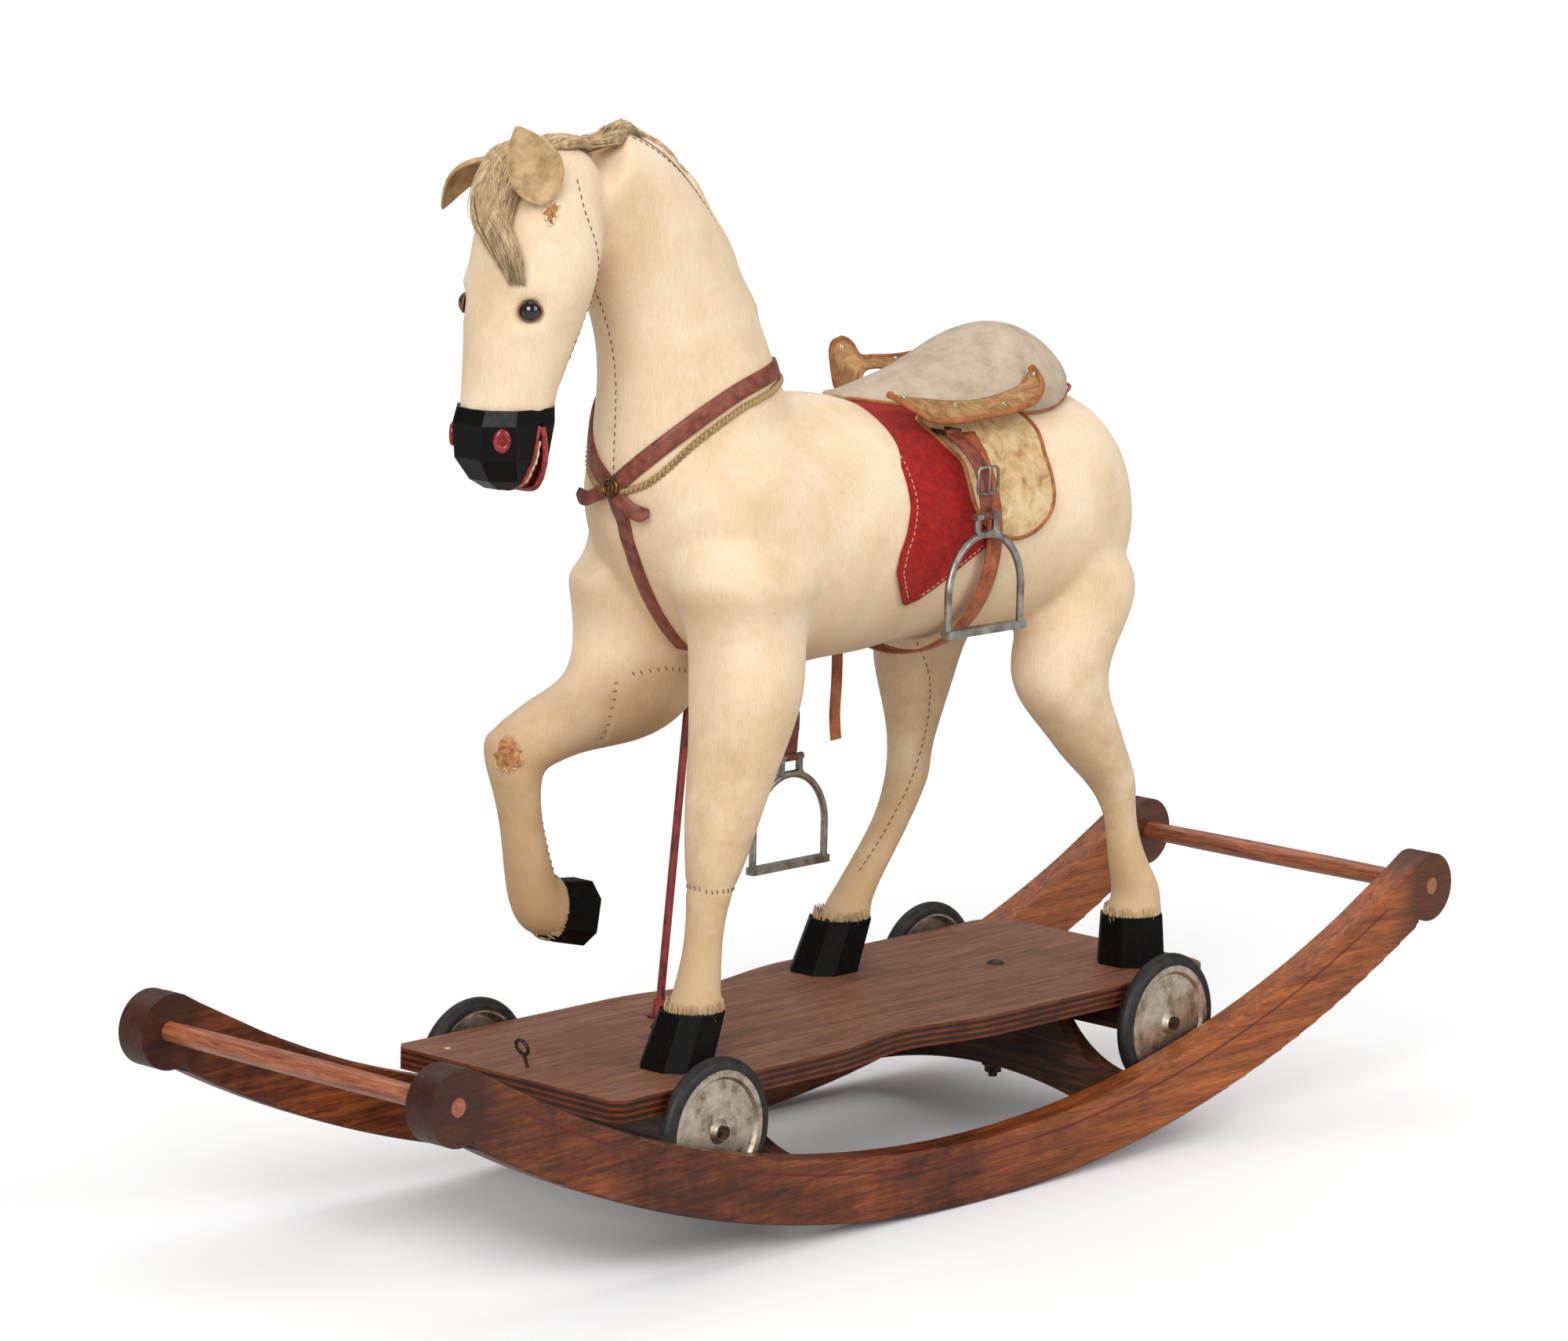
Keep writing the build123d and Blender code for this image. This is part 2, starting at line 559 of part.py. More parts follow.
# raised foreleg: x, z, lean of the section, half thickness, half width
FOREARM = [
    (-165, 580, 0, 60, 38), (-161, 515, -8, 79, 43), (-176, 446, -38, 72, 42),
    (-207, 417, -58, 46, 36), (-255, 403, -72, 31, 28), (-300, 390, -78, 26, 25),
    (-316, 386, -82, 21, 20),
]
SHIN = [
    (-309, 398, 183, 22, 21), (-308, 384, 183, 27, 24), (-305, 352, 185, 21, 20),
    (-298, 316, 188, 18.5, 18), (-291, 286, 192, 20, 19), (-284, 263, 208, 22, 20),
    (-264, 246, 255, 23, 21),
]
FORE_Y = 74.0
RAISED_Y = 70.0


def splay(top, bottom):
    """Distance from the middle plane of a leg at a height, splaying towards the hoof."""
    def at(z):
        share = min(1.0, max(0.0, (z - HOOF_TOP) / (BARREL_MID_Z - HOOF_TOP)))
        return bottom + (top - bottom) * share
    return at


def octagon(plane, length, width, clip):
    """A rectangle with clipped corners on a plane, for carved hooves and muzzle."""
    a, b = length / 2, width / 2
    corners = [
        (-a, -b + clip), (-a + clip, -b), (a - clip, -b), (a, -b + clip),
        (a, b - clip), (a - clip, b), (-a + clip, b), (-a, b - clip),
    ]
    return plane * make_face(Polyline(*corners, close=True))


def standing_hoof(x_top, x_sole, y):
    """A carved, facetted hoof from the pastern to the platform."""
    clip = HOOF_WIDTH / 4
    sole = octagon(Plane(origin=(x_sole, y, PLATFORM_TOP)), HOOF_LENGTH, HOOF_WIDTH, clip)
    crown = octagon(Plane(origin=(x_top, y, HOOF_TOP)), HOOF_LENGTH - 4, HOOF_WIDTH - 3, clip)
    return loft([sole, crown], ruled=True)


def raised_hoof():
    """The folded foreleg's hoof, pointing back and slightly down."""
    along, across = Vector(0.985, 0, -0.17), (-0.17, 0, -0.985)
    start = Vector(-264, RAISED_Y, 245)
    crown_plane = Plane(origin=start, x_dir=across, z_dir=along)
    sole_plane = Plane(origin=start + along * RAISED_HOOF_HEIGHT, x_dir=across, z_dir=along)
    clip = HOOF_WIDTH / 4
    crown = octagon(crown_plane, HOOF_LENGTH - 6, HOOF_WIDTH - 8, clip)
    sole = octagon(sole_plane, HOOF_LENGTH - 2, HOOF_WIDTH - 4, clip)
    return loft([crown, sole], ruled=True)


def biggest(shape):
    """The largest solid of a cut shape."""
    return shape.solids().sort_by(SortBy.VOLUME)[-1]


def build_legs(barrel, prop):
    left_y, right_y = splay(-58, -FORE_Y), splay(56, 84)
    fore = leg(LEFT_FORE, left_y) - barrel
    cuff_cut = Pos(-220, -FORE_Y, CUFF_Z) * Box(300, 200, 400, align=HANGING)
    nodes["left_foreleg_upper"] = biggest(fore - cuff_cut)
    nodes["left_foreleg_cuff"] = biggest(fore & cuff_cut)
    nodes["left_hind_leg"] = biggest(leg(LEFT_HIND, left_y) - barrel)
    nodes["right_hind_leg"] = biggest(leg(RIGHT_HIND, right_y) - barrel)
    arm = loft([leaning_oval(x, RAISED_Y - 5, z, lean, a, b) for x, z, lean, a, b in FOREARM])
    shin = loft([leaning_oval(x, RAISED_Y, z, lean, a, b) for x, z, lean, a, b in SHIN])
    raised = arm + shin
    hoof = raised_hoof()
    nodes["right_fore_hoof"] = hoof
    nodes["right_foreleg"] = biggest(raised - hoof - barrel - prop)
    nodes["left_fore_hoof"] = standing_hoof(-244, -262, -FORE_Y)
    nodes["left_hind_hoof"] = standing_hoof(309, 310, -FORE_Y)
    nodes["right_hind_hoof"] = standing_hoof(104, 84, 84)


def build_head(neck, head):
    """Head with its painted wooden muzzle, separate lower jaw, glass eyes and leather ears."""
    tops = [
        octagon(Plane(origin=(-391, 0, MUZZLE_TOP_Z)), 76, 68, 18),
        octagon(Plane(origin=(-393, 0, 668)), 80, 71, 19),
        octagon(Plane(origin=(-395, 0, 641)), 75, 69, 20),
        octagon(Plane(origin=(-391, 0, 623)), 57, 54, 16),
        octagon(Plane(origin=(-388, 0, MUZZLE_BOTTOM_Z)), 36, 38, 11),
    ]
    block = loft(tops, ruled=True)
    mouth = Plane.XZ.offset(-60) * make_face(
        Polyline((-388, 669), (-400, 604), (-377, 604), (-385, 669), close=True)
    )
    behind = Plane.XZ.offset(-60) * make_face(
        Polyline((-388, 700), (-388, 669), (-400, 604), (-340, 604), (-340, 700), close=True)
    )
    jaw_side = extrude(behind, amount=120)
    gap = extrude(mouth, amount=120)
    roof = Pos(-370, 0, MUZZLE_TOP_Z) * Box(80, 120, 16, align=(Align.CENTER, Align.CENTER, Align.CENTER))
    jaw = (block & jaw_side) - gap - roof
    nodes["lower_jaw"] = jaw
    nodes["muzzle"] = block - ((block & jaw_side) - roof)
    eyes = []
    for sign in (-1, 1):
        eyes.append(Pos(-399, sign * 33.5, 758) * Sphere(EYE_BALL_RADIUS))
    head = head - neck
    for eye in eyes:
        head -= eye
    nodes["glass_eyes"] = Compound(children=eyes)
    return head


def ear(x, y, z, turn, lean, tilt):
    """A leather leaf, curled about its length and standing on the poll."""
    half, top = EAR_WIDTH / 2, EAR_LENGTH
    leaf = make_face([
        Spline([(-half * 0.45, 0), (-half, top * 0.38), (-half * 0.62, top * 0.75), (0, top)]),
        Spline([(0, top), (half * 0.62, top * 0.75), (half, top * 0.38), (half * 0.45, 0)]),
        Line((half * 0.45, 0), (-half * 0.45, 0)),
    ])
    blade = extrude(Plane.XZ.offset(-EAR_CURL) * leaf, amount=2 * EAR_CURL)
    shell = Cylinder(EAR_CURL, 3 * top) - Cylinder(EAR_CURL - EAR_LEATHER, 3 * top)
    back = Pos(0, EAR_CURL / 2, 0) * Box(4 * EAR_CURL, EAR_CURL, 6 * top)
    curled = blade & shell & back
    curled = Pos(0, -EAR_CURL + EAR_LEATHER, 0) * curled
    return Pos(x, y, z) * Rot(0, 0, turn) * Rot(lean, tilt, 0) * curled


def build_ears(head, neck):
    """The left ear stands and faces forward; the right one droops outwards."""
    lock = nodes["forelock"]
    nodes["left_ear"] = biggest(ear(-380, -35, 838, -50, 0, -14) - head - neck - lock)
    nodes["right_ear"] = biggest(ear(-366, 26, 872, 196, 136, 0) - head - neck - lock)


def build_hair(neck, head, barrel):
    """Forelock falling from the poll and the strip that carries the mane along the crest."""
    locks = [
        (-350, 880, -75, 13, 18), (-381, 870, -46, 13, 24), (-401, 842, -25, 11, 27),
        (-413, 806, -13, 8, 23), (-420, 766, -10, 4, 10),
    ]
    forelock = loft([leaning_oval(x, -4, z, lean, a, b) for x, z, lean, a, b in locks])
    nodes["forelock"] = forelock - head
    grown = loft([leaning_oval(x, 0, z, lean, a + 5, b + 5) for x, z, lean, a, b in NECK])
    slab = Pos(-150, 0, 790) * Box(400, 16, 300)
    crest = [(-60, 655), (-40, 900), (-330, 960), (-318, 880), (-262, 850), (-190, 760), (-150, 655)]
    behind = extrude(Plane.XZ.offset(-20) * make_face(Polyline(*crest, close=True)), amount=40)
    nodes["mane_strip"] = biggest((grown & slab & behind) - neck - head - barrel)


# ---------------------------------------------------------------- saddlery
def grown_barrel(grow):
    """The barrel, thicker by this much all round."""
    if grow not in grown_barrels:
        grown_barrels[grow] = loft([barrel_oval(*s, grow=grow) for s in BARREL])
    return grown_barrels[grow]


def barrel_shell(inner, outer, x_from, x_to):
    """The skin between two offsets of the barrel, over a stretch of it."""
    box = Pos((x_from + x_to) / 2, 0, M) * Box(x_to - x_from, 4 * B, 4 * B)
    return (grown_barrel(outer) & box) - grown_barrel(inner)


def side_cut(points, radius):
    """A prism across the horse from a side outline in X and Z."""
    return extrude(Plane.XZ.offset(-2 * B) * rounded(points, radius), amount=4 * B)


def build_saddle(barrel):
    blanket_shell = barrel_shell(TACK_GAP, BLANKET_OUT, -70, 150)
    felt = side_cut(
        [(-50, 700), (-31, 592), (-38, 545), (-35, 497), (-8, 506), (20, 522), (62, 534),
         (128, 548), (132, 700)], 5,
    )
    nodes["saddle_blanket"] = blanket_shell & felt
    flap_shell = barrel_shell(FLAP_IN, FLAP_OUT, -40, 170)
    flap_outline = [(-8, 640), (118, 640), (136, 610), (145, 574), (128, 553), (84, 541), (40, 560), (12, 600)]
    flap = side_cut(flap_outline, 7)
    flaps = flap_shell & flap
    for side, sign in SIDES.items():
        half = Pos(60, sign * B, M) * Box(4 * B, 2 * B - 60, 4 * B)
        nodes[f"{side}_saddle_flap"] = flaps & half
    seat_sections = [
        (8, 24, 52), (45, 38, 64), (110, 55, 79), (170, 60, 96), (215, 48, 91), (242, 27, 64),
    ]
    seat = loft([
        Plane(origin=(x, 0, 610), x_dir=(0, 1, 0), z_dir=(1, 0, 0)) * Ellipse(w, h)
        for x, w, h in seat_sections
    ])
    under = grown_barrel(FLAP_IN)
    upper = Pos(120, 0, 640) * Box(400, 300, 200, align=(Align.CENTER, Align.CENTER, Align.MIN))
    nodes["saddle_seat"] = (seat - under) & upper
    return under


def build_skirts(under):
    """Small leather skirts beside the seat: the left one lies down, the right one curls up."""
    t = SKIRT_LEATHER
    left_line = ThreePointArc((-30, 667), (-66, 661), (-90, 642))
    right_line = ThreePointArc((86, 687), (70, 667), (32, 662))
    plans = {
        "left": rounded([(-26, -100), (-30, -74), (14, -26), (150, -26), (164, -74), (134, -100)], 9),
        "right": rounded([(76, 100), (72, 70), (90, 26), (190, 26), (208, 80), (176, 100)], 9),
    }
    for side, line in (("left", left_line), ("right", right_line)):
        sheet = cross_board(trace(line, t), -60, 300)
        column = extrude(Plane.XY.offset(600) * plans[side], amount=140)
        nodes[f"{side}_saddle_skirt"] = (sheet & column) - nodes["saddle_seat"] - under


def build_girth():
    shell = barrel_shell(GIRTH_IN, GIRTH_OUT, GIRTH_X - GIRTH_WIDTH / 2, GIRTH_X + GIRTH_WIDTH / 2)
    below = Pos(GIRTH_X, 0, LEATHER_HINGE_Z - 6) * Box(100, 400, 400, align=HANGING)
    band = shell & below
    sag = (B + GIRTH_OUT) ** 2 - GIRTH_END_Y**2
    z_top = M - (H + GIRTH_OUT) / (B + GIRTH_OUT) * sqrt(sag) + STRAP_LEATHER / 2
    tail = Pos(GIRTH_X, GIRTH_END_Y, (z_top + GIRTH_END_BOTTOM) / 2) * Box(
        GIRTH_WIDTH - 2, STRAP_LEATHER, z_top - GIRTH_END_BOTTOM
    )
    nodes["girth"] = band + tail


def build_neck_strap(barrel, neck):
    """Strap round the base of the neck, crossing under a rosette, and a breast strap below it."""
    grow, gap = TACK_GAP + STRAP_LEATHER, TACK_GAP
    big = grown_barrel(grow) + loft(
        [leaning_oval(x, 0, z, lean, a + grow, b + grow) for x, z, lean, a, b in NECK]
    )
    small = grown_barrel(gap) + loft(
        [leaning_oval(x, 0, z, lean, a + gap, b + gap) for x, z, lean, a, b in NECK]
    )
    front, withers = Vector(-266, 0, 604), Vector(-90, 0, 698)
    strap = None
    for sign in (-1, 1):
        side_point = Vector(-226, sign * 62, 660)
        normal = (side_point - front).cross(withers - front)
        plane = Plane(origin=(front + withers) * 0.5, z_dir=normal)
        slab = plane * Box(600, 600, STRAP_WIDTH)
        reach = Pos(-180, sign * 110, 640) * Box(260, 270, 240)
        piece = big & slab & reach
        strap = piece if strap is None else strap + piece
    breast = big & (Pos(-230, 0, 530) * Box(130, STRAP_WIDTH, 160))
    nodes["neck_strap"] = biggest(strap - small)
    nodes["breast_strap"] = biggest(breast - small - strap)
    face = Plane(origin=(-266 - grow, 0, 604), z_dir=(-1, 0, 0.12))
    cap_r = (ROSETTE_RADIUS**2 + ROSETTE_HEIGHT**2) / (2 * ROSETTE_HEIGHT)
    dome = face * (Pos(0, 0, ROSETTE_HEIGHT - cap_r) * Sphere(cap_r))
    keep = face * Box(100, 100, 50, align=(Align.CENTER, Align.CENTER, Align.MIN))
    nodes["rosette"] = biggest((dome & keep) - nodes["neck_strap"] - neck - barrel)


# ---------------------------------------------------------------- stirrups
def stirrup_iron(x, side, eye_z):
    """Cast stirrup: slotted eye on top, arch, and a flat tread; the eye bar is at eye_z."""
    y = side * LEATHER_HANG_Y
    w, h, r = STIRRUP_WIDTH, STIRRUP_HEIGHT, STIRRUP_BAR / 2
    neck_z = eye_z - STIRRUP_EYE_HEIGHT
    foot_z = neck_z - h
    half, spring_z = w / 2 - r, foot_z + h * STIRRUP_SPRING
    arch = [
        Line((x - half, foot_z), (x - half, spring_z)),
        EllipticalCenterArc((x, spring_z), half, neck_z - spring_z, 180, arc_size=-180),
        Line((x + half, spring_z), (x + half, foot_z)),
    ]
    path = Plane.XZ.offset(-y) * Wire(arch)
    bow = sweep(Plane(origin=(x - half, y, foot_z), z_dir=(0, 0, 1)) * Circle(r), path=path)
    tread = Pos(x, y, foot_z) * Box(w, STIRRUP_TREAD_WIDTH, STIRRUP_BAR)
    e = STIRRUP_EYE_WIDTH
    eye = Pos(x, y, eye_z) * Rot(0, 90, 0) * Cylinder(r, e)
    for hand in (-1, 1):
        post = Pos(x + hand * (e / 2 - r), y, (eye_z + neck_z) / 2) * Cylinder(r, eye_z - neck_z)
        eye += post
    eye += Pos(x, y, neck_z) * Rot(0, 90, 0) * Cylinder(r, e)
    return bow + tread + eye


def stirrup_leather(x, side, eye_z):
    """A strap from the saddle over the flap, then straight down to a loop round the eye bar."""
    t = LEATHER_THICKNESS
    y_hang, y_top, z_top = LEATHER_HANG_Y, LEATHER_HINGE_Y, LEATHER_HINGE_Z
    shoulder = (y_hang, z_top - (y_hang - y_top) * 1.15)
    r, r_top = STIRRUP_BAR / 2 + HINGE_CLEARANCE, SADDLE_BAR_RADIUS + HINGE_CLEARANCE
    middle = ((y_top + y_hang) / 2 + 6, z_top - 16)
    start = (y_top + r_top + t / 2, z_top)
    strip = trace(Spline([start, middle, shoulder], tangents=[(0.5, -0.5), (0, -1)]), t)
    strip += Pos(y_top, z_top) * (Circle(r_top + t) - Circle(r_top))
    low_z = eye_z + r + t / 2
    drop = Pos(y_hang, (shoulder[1] + low_z) / 2) * Rectangle(t, shoulder[1] - low_z)
    loop = Pos(y_hang, eye_z) * (Circle(r + t) - Circle(r))
    flat = strip + drop + loop
    solid = cross_board(flat, x - LEATHER_WIDTH / 2, LEATHER_WIDTH)
    return solid if side > 0 else mirror(solid, about=Plane.XZ)


def saddle_bar(x, side):
    """A short bar with two feet on the flap; the stirrup leather is looped round it."""
    reach = LEATHER_WIDTH / 2 + HINGE_CLEARANCE + SADDLE_BAR_FOOT
    y, z, r = side * LEATHER_HINGE_Y, LEATHER_HINGE_Z, SADDLE_BAR_RADIUS
    bar = Pos(x, y, z) * Rot(0, 90, 0) * Cylinder(r, 2 * reach)
    for hand in (-1, 1):
        foot_x = x + hand * (reach - SADDLE_BAR_FOOT / 2)
        bar += Pos(foot_x, y - side * B / 4, z) * Box(SADDLE_BAR_FOOT, B / 2, 2 * r)
    return bar - grown_barrel(FLAP_OUT)


def build_stirrups():
    places = {"left": (LEFT_STIRRUP_X, LEFT_EYE_Z), "right": (RIGHT_STIRRUP_X, RIGHT_EYE_Z)}
    bars = []
    for side, sign in SIDES.items():
        x, eye_z = places[side]
        nodes[f"{side}_stirrup_iron"] = stirrup_iron(x, sign, eye_z)
        nodes[f"{side}_stirrup_leather"] = stirrup_leather(x, sign, eye_z)
        bars.append(saddle_bar(x, sign))
    nodes["saddle_bars"] = Compound(children=bars)


# ---------------------------------------------------------------- assembly
def build():
    build_rockers()
    build_rungs()
    build_supports()
    build_platform()
    build_bolts()
    build_running_gear()
    nodes["pull_ring"] = eye_screw()
    prop = build_prop()
    nodes["prop_rod"] = prop
    barrel, neck, head = build_trunk()
    build_legs(barrel, prop)
    nodes["body"] = barrel
    nodes["neck"] = neck - barrel
    head = build_head(neck, head)
    nodes["head"] = head
    build_hair(neck, head, barrel)
    build_ears(head, neck)
    under = build_saddle(barrel)
    build_skirts(under)
    build_girth()
    build_neck_strap(barrel, neck)
    nodes["mane_strip"] = biggest(nodes["mane_strip"] - nodes["neck_strap"])
    build_stirrups()


os.makedirs("parts", exist_ok=True)
build()
for name, solid in nodes.items():
    export_step(solid, f"parts/{name}.step")
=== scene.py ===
# %% [markdown]
# A hide-covered rocking horse, dressed for the studio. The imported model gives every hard
# piece its place. This script adds what a solid can't show: the sewn hide, the hair, the
# harness, the saddle, and a finish for each material.
# %% Load the frame
import bmesh
import bpy
import numpy as np
from mathutils import Matrix, Vector
from mathutils.bvhtree import BVHTree


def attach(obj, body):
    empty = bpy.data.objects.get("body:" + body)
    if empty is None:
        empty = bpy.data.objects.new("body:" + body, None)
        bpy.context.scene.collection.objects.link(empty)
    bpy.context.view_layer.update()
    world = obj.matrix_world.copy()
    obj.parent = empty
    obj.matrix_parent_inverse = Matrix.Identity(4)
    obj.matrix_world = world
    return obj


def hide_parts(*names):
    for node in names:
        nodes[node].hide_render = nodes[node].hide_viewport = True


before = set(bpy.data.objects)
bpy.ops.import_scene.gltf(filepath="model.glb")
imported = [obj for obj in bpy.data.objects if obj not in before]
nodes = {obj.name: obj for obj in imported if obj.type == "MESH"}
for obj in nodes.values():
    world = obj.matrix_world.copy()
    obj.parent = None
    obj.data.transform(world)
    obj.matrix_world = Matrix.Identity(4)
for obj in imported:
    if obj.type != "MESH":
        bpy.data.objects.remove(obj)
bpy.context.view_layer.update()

scene = bpy.context.scene

# %% [markdown]
# Sizes. The model is in metres, but a maker thinks of a toy in millimetres, so one helper
# turns millimetre points into metre arrays. The barrel's numbers are those of the solid, so
# that leather and felt can be laid on it by formula.
# %% Units and the barrel's own sizes
MM = 0.001
BARREL_HALF_WIDTH, BARREL_HALF_HEIGHT, BARREL_MID_Z = 107.0, 105.0, 547.0
BODY = "horse_and_rockers"
SIDES = {"left": -1.0, "right": 1.0}


def travelled(path):
    """The distance gone along a path at each of its points."""
    return np.concatenate([[0], np.cumsum(np.linalg.norm(np.diff(path, axis=0), axis=1))])


def at_distance(path, where):
    """Points of a path at these distances along it."""
    far = travelled(path)
    return np.stack([np.interp(where, far, path[:, k]) for k in range(3)], -1)


def mm(*points):
    """Points in millimetres as an array in metres."""
    return np.array(points, dtype=float) * MM


def cubic(a, b, c, d, t):
    """The curve from b to c at t, with the slopes that a and d give it."""
    square, cube = 2 * a - 5 * b + 4 * c - d, 3 * b - a - 3 * c + d
    return 0.5 * (2 * b + (c - a) * t + square * t**2 + cube * t**3)


def smooth_line(points, count):
    """A Catmull-Rom curve: each stretch is the cubic whose slope at a point joins its two
    neighbours, sampled count times from the first point to the last."""
    p = np.asarray(points, float)
    p = np.vstack([2 * p[0] - p[1], p, 2 * p[-1] - p[-2]])
    s = np.linspace(0, len(p) - 3 - 1e-9, count)
    i = s.astype(int)
    t = (s - i)[:, None]
    a, b, c, d = p[i], p[i + 1], p[i + 2], p[i + 3]
    return cubic(a, b, c, d, t)


def smooth_loop(points, count):
    """The same curve through points that form a closed outline."""
    p = np.asarray(points, float)
    n = len(p)
    s = np.linspace(0, n, count, endpoint=False)
    i = s.astype(int)
    t = (s - i)[:, None]
    a, b, c, d = p[(i - 1) % n], p[i % n], p[(i + 1) % n], p[(i + 2) % n]
    return cubic(a, b, c, d, t)


print("barrel section in mm", 2 * BARREL_HALF_WIDTH, "x", 2 * BARREL_HALF_HEIGHT)

# %% [markdown]
# A colour is written as a hex value, as on a paint card. Blender mixes light in linear
# numbers, so one function turns the card's value into those. Another adds a shader node with
# its settings and its links, which keeps every material readable.
# %% Colour and shader nodes
def linear(hex_colour):
    """sRGB hex to linear RGBA: below 0.04045 divide by 12.92, above it use the 2.4 power."""
    c = np.array([int(hex_colour[i:i + 2], 16) for i in (1, 3, 5)]) / 255
    c = np.where(c <= 0.04045, c / 12.92, ((c + 0.055) / 1.055) ** 2.4)
    return (*c.tolist(), 1.0)


def add(tree, kind, links=None, **settings):
    """One shader node: settings go to its properties or its sockets, links feed its inputs."""
    node = tree.nodes.new(kind)
    for key, value in settings.items():
        if hasattr(node, key):
            setattr(node, key, value)
        else:
            socket = node.inputs[key.replace("_", " ")]
            socket.default_value = value
    for key, source in (links or {}).items():
        tree.links.new(source, node.inputs[key])
    return node


def ramp(tree, source, stops):
    """A colour ramp from pairs of position and hex colour."""
    node = add(tree, "ShaderNodeValToRGB", {"Fac": source})
    for _ in stops[2:]:
        node.color_ramp.elements.new(0.5)
    for element, (place, colour) in zip(node.color_ramp.elements, stops):
        element.position = place
        element.color = linear(colour)
    return node.outputs["Color"]


def blend_colour(tree, fac, a, b, mode="MIX"):
    """Mixes two colours; fac, a and b are sockets, numbers or hex values."""
    node = add(tree, "ShaderNodeMix", data_type="RGBA", blend_type=mode, clamp_factor=True)
    for index, value in ((0, fac), (6, a), (7, b)):
        if isinstance(value, str):
            node.inputs[index].default_value = linear(value)
        elif isinstance(value, (int, float)):
            node.inputs[index].default_value = value
        else:
            tree.links.new(value, node.inputs[index])
    return node.outputs[2]


def maths(tree, operation, *values):
    """One Math node on sockets or numbers."""
    node = add(tree, "ShaderNodeMath", operation=operation)
    for socket, value in zip(node.inputs, values):
        if isinstance(value, (int, float)):
            socket.default_value = value
        else:
            tree.links.new(value, socket)
    return node.outputs[0]


print("middle grey", linear("#808080")[:3])

# %% [markdown]
# Every pattern on the horse is noise in the object's own millimetres, so a feature keeps its
# real size on any piece. A finish is a Principled shader, whose colour and bump may be such
# patterns.
# %% Patterns and finishes
def pattern(tree, size_mm, stretch=(1, 1, 1), **settings):
    """Noise on Object coordinates; size_mm is the real size of one feature."""
    place = add(tree, "ShaderNodeTexCoord").outputs["Object"]
    scale = tuple(1 / (size_mm * MM * s) for s in stretch)
    mapped = add(tree, "ShaderNodeMapping", {"Vector": place}, Scale=scale)
    return add(
        tree, "ShaderNodeTexNoise", {"Vector": mapped.outputs[0]}, Scale=1.0, **settings
    ).outputs[0]


def finish(name, roughness=0.6, bump=None, depth_mm=0.3, colour=None, **sockets):
    """A named material; colour and bump are functions of its tree that return sockets."""
    material = bpy.data.materials.new(name)
    material.use_nodes = True
    tree = material.node_tree
    shader = tree.nodes["Principled BSDF"]
    shader.inputs["Roughness"].default_value = roughness
    for key, value in sockets.items():
        shader.inputs[key.replace("_", " ")].default_value = value
    if isinstance(colour, str):
        shader.inputs["Base Color"].default_value = linear(colour)
    elif colour:
        tree.links.new(colour(tree), shader.inputs["Base Color"])
    if bump:
        node = add(tree, "ShaderNodeBump", {"Height": bump(tree)}, Strength=0.6, Distance=depth_mm * MM)
        tree.links.new(node.outputs[0], shader.inputs["Normal"])
    return material


def noise(size_mm, stretch=(1, 1, 1), **settings):
    """Noise as a function of the tree, which is the form that finish takes."""
    return lambda tree: pattern(tree, size_mm, stretch, **settings)


def tinted(stops, size_mm, stretch=(1, 1, 1), **settings):
    """Noise run through a colour ramp, as a function of the tree."""
    return lambda tree: ramp(tree, pattern(tree, size_mm, stretch, **settings), stops)


def both(first, second):
    """Two patterns added together, as a function of the tree."""
    return lambda tree: maths(tree, "ADD", first(tree), second(tree))


def slope(tree, value, start, gain, top):
    """Nought up to start, then rising with this gain as far as top; a negative gain falls."""
    rising = maths(tree, "MULTIPLY", maths(tree, "SUBTRACT", value, start), gain)
    return clamp(tree, rising, 0.0, top)


def axes(tree):
    """The three Object coordinates of a point, as sockets, in metres."""
    place = add(tree, "ShaderNodeTexCoord").outputs["Object"]
    return add(tree, "ShaderNodeSeparateXYZ", {"Vector": place}).outputs


def clamp(tree, value, low, high):
    """A socket's value kept between two numbers."""
    return maths(tree, "MINIMUM", maths(tree, "MAXIMUM", value, low), high)


print("pattern scale of a 5 mm feature", 1 / (5 * MM))

# %% [markdown]
# The camera stands low and far off, so the bows look nearly parallel. It is set by where it
# stands, the way it looks, and a long lens. The small shift centres the picture's own axis.
# %% Camera
AZIMUTH, ELEVATION, ROLL = np.radians([47.33, 10.02, 1.3])
STANDPOINT = mm((-3611.6, -3307.2, 1284.3))[0]
FOCAL_WIDTHS = 3.776  # focal length in picture widths
SENSOR_WIDTH = 36.0
SHIFT = (-0.0211, 0.0036)

look = np.array([
    np.sin(AZIMUTH) * np.cos(ELEVATION), np.cos(AZIMUTH) * np.cos(ELEVATION), -np.sin(ELEVATION)
])
level = np.array([np.cos(AZIMUTH), -np.sin(AZIMUTH), 0.0])
upright = np.cross(level, look)
right = np.cos(ROLL) * level + np.sin(ROLL) * upright
up = np.cos(ROLL) * upright - np.sin(ROLL) * level
camera_data = bpy.data.cameras.new("studio_camera")
camera_data.sensor_width = SENSOR_WIDTH
camera_data.lens = SENSOR_WIDTH * FOCAL_WIDTHS
camera_data.shift_x, camera_data.shift_y = SHIFT
camera_data.clip_end = 50.0
camera = bpy.data.objects.new("studio_camera", camera_data)
turn = np.eye(4)
turn[:3, 0], turn[:3, 1], turn[:3, 2], turn[:3, 3] = right, up, -look, STANDPOINT
camera.matrix_world = Matrix(turn.tolist())
scene.collection.objects.link(camera)
scene.camera = camera
scene.view_settings.view_transform = "Standard"
print("lens in mm", round(camera_data.lens, 1))

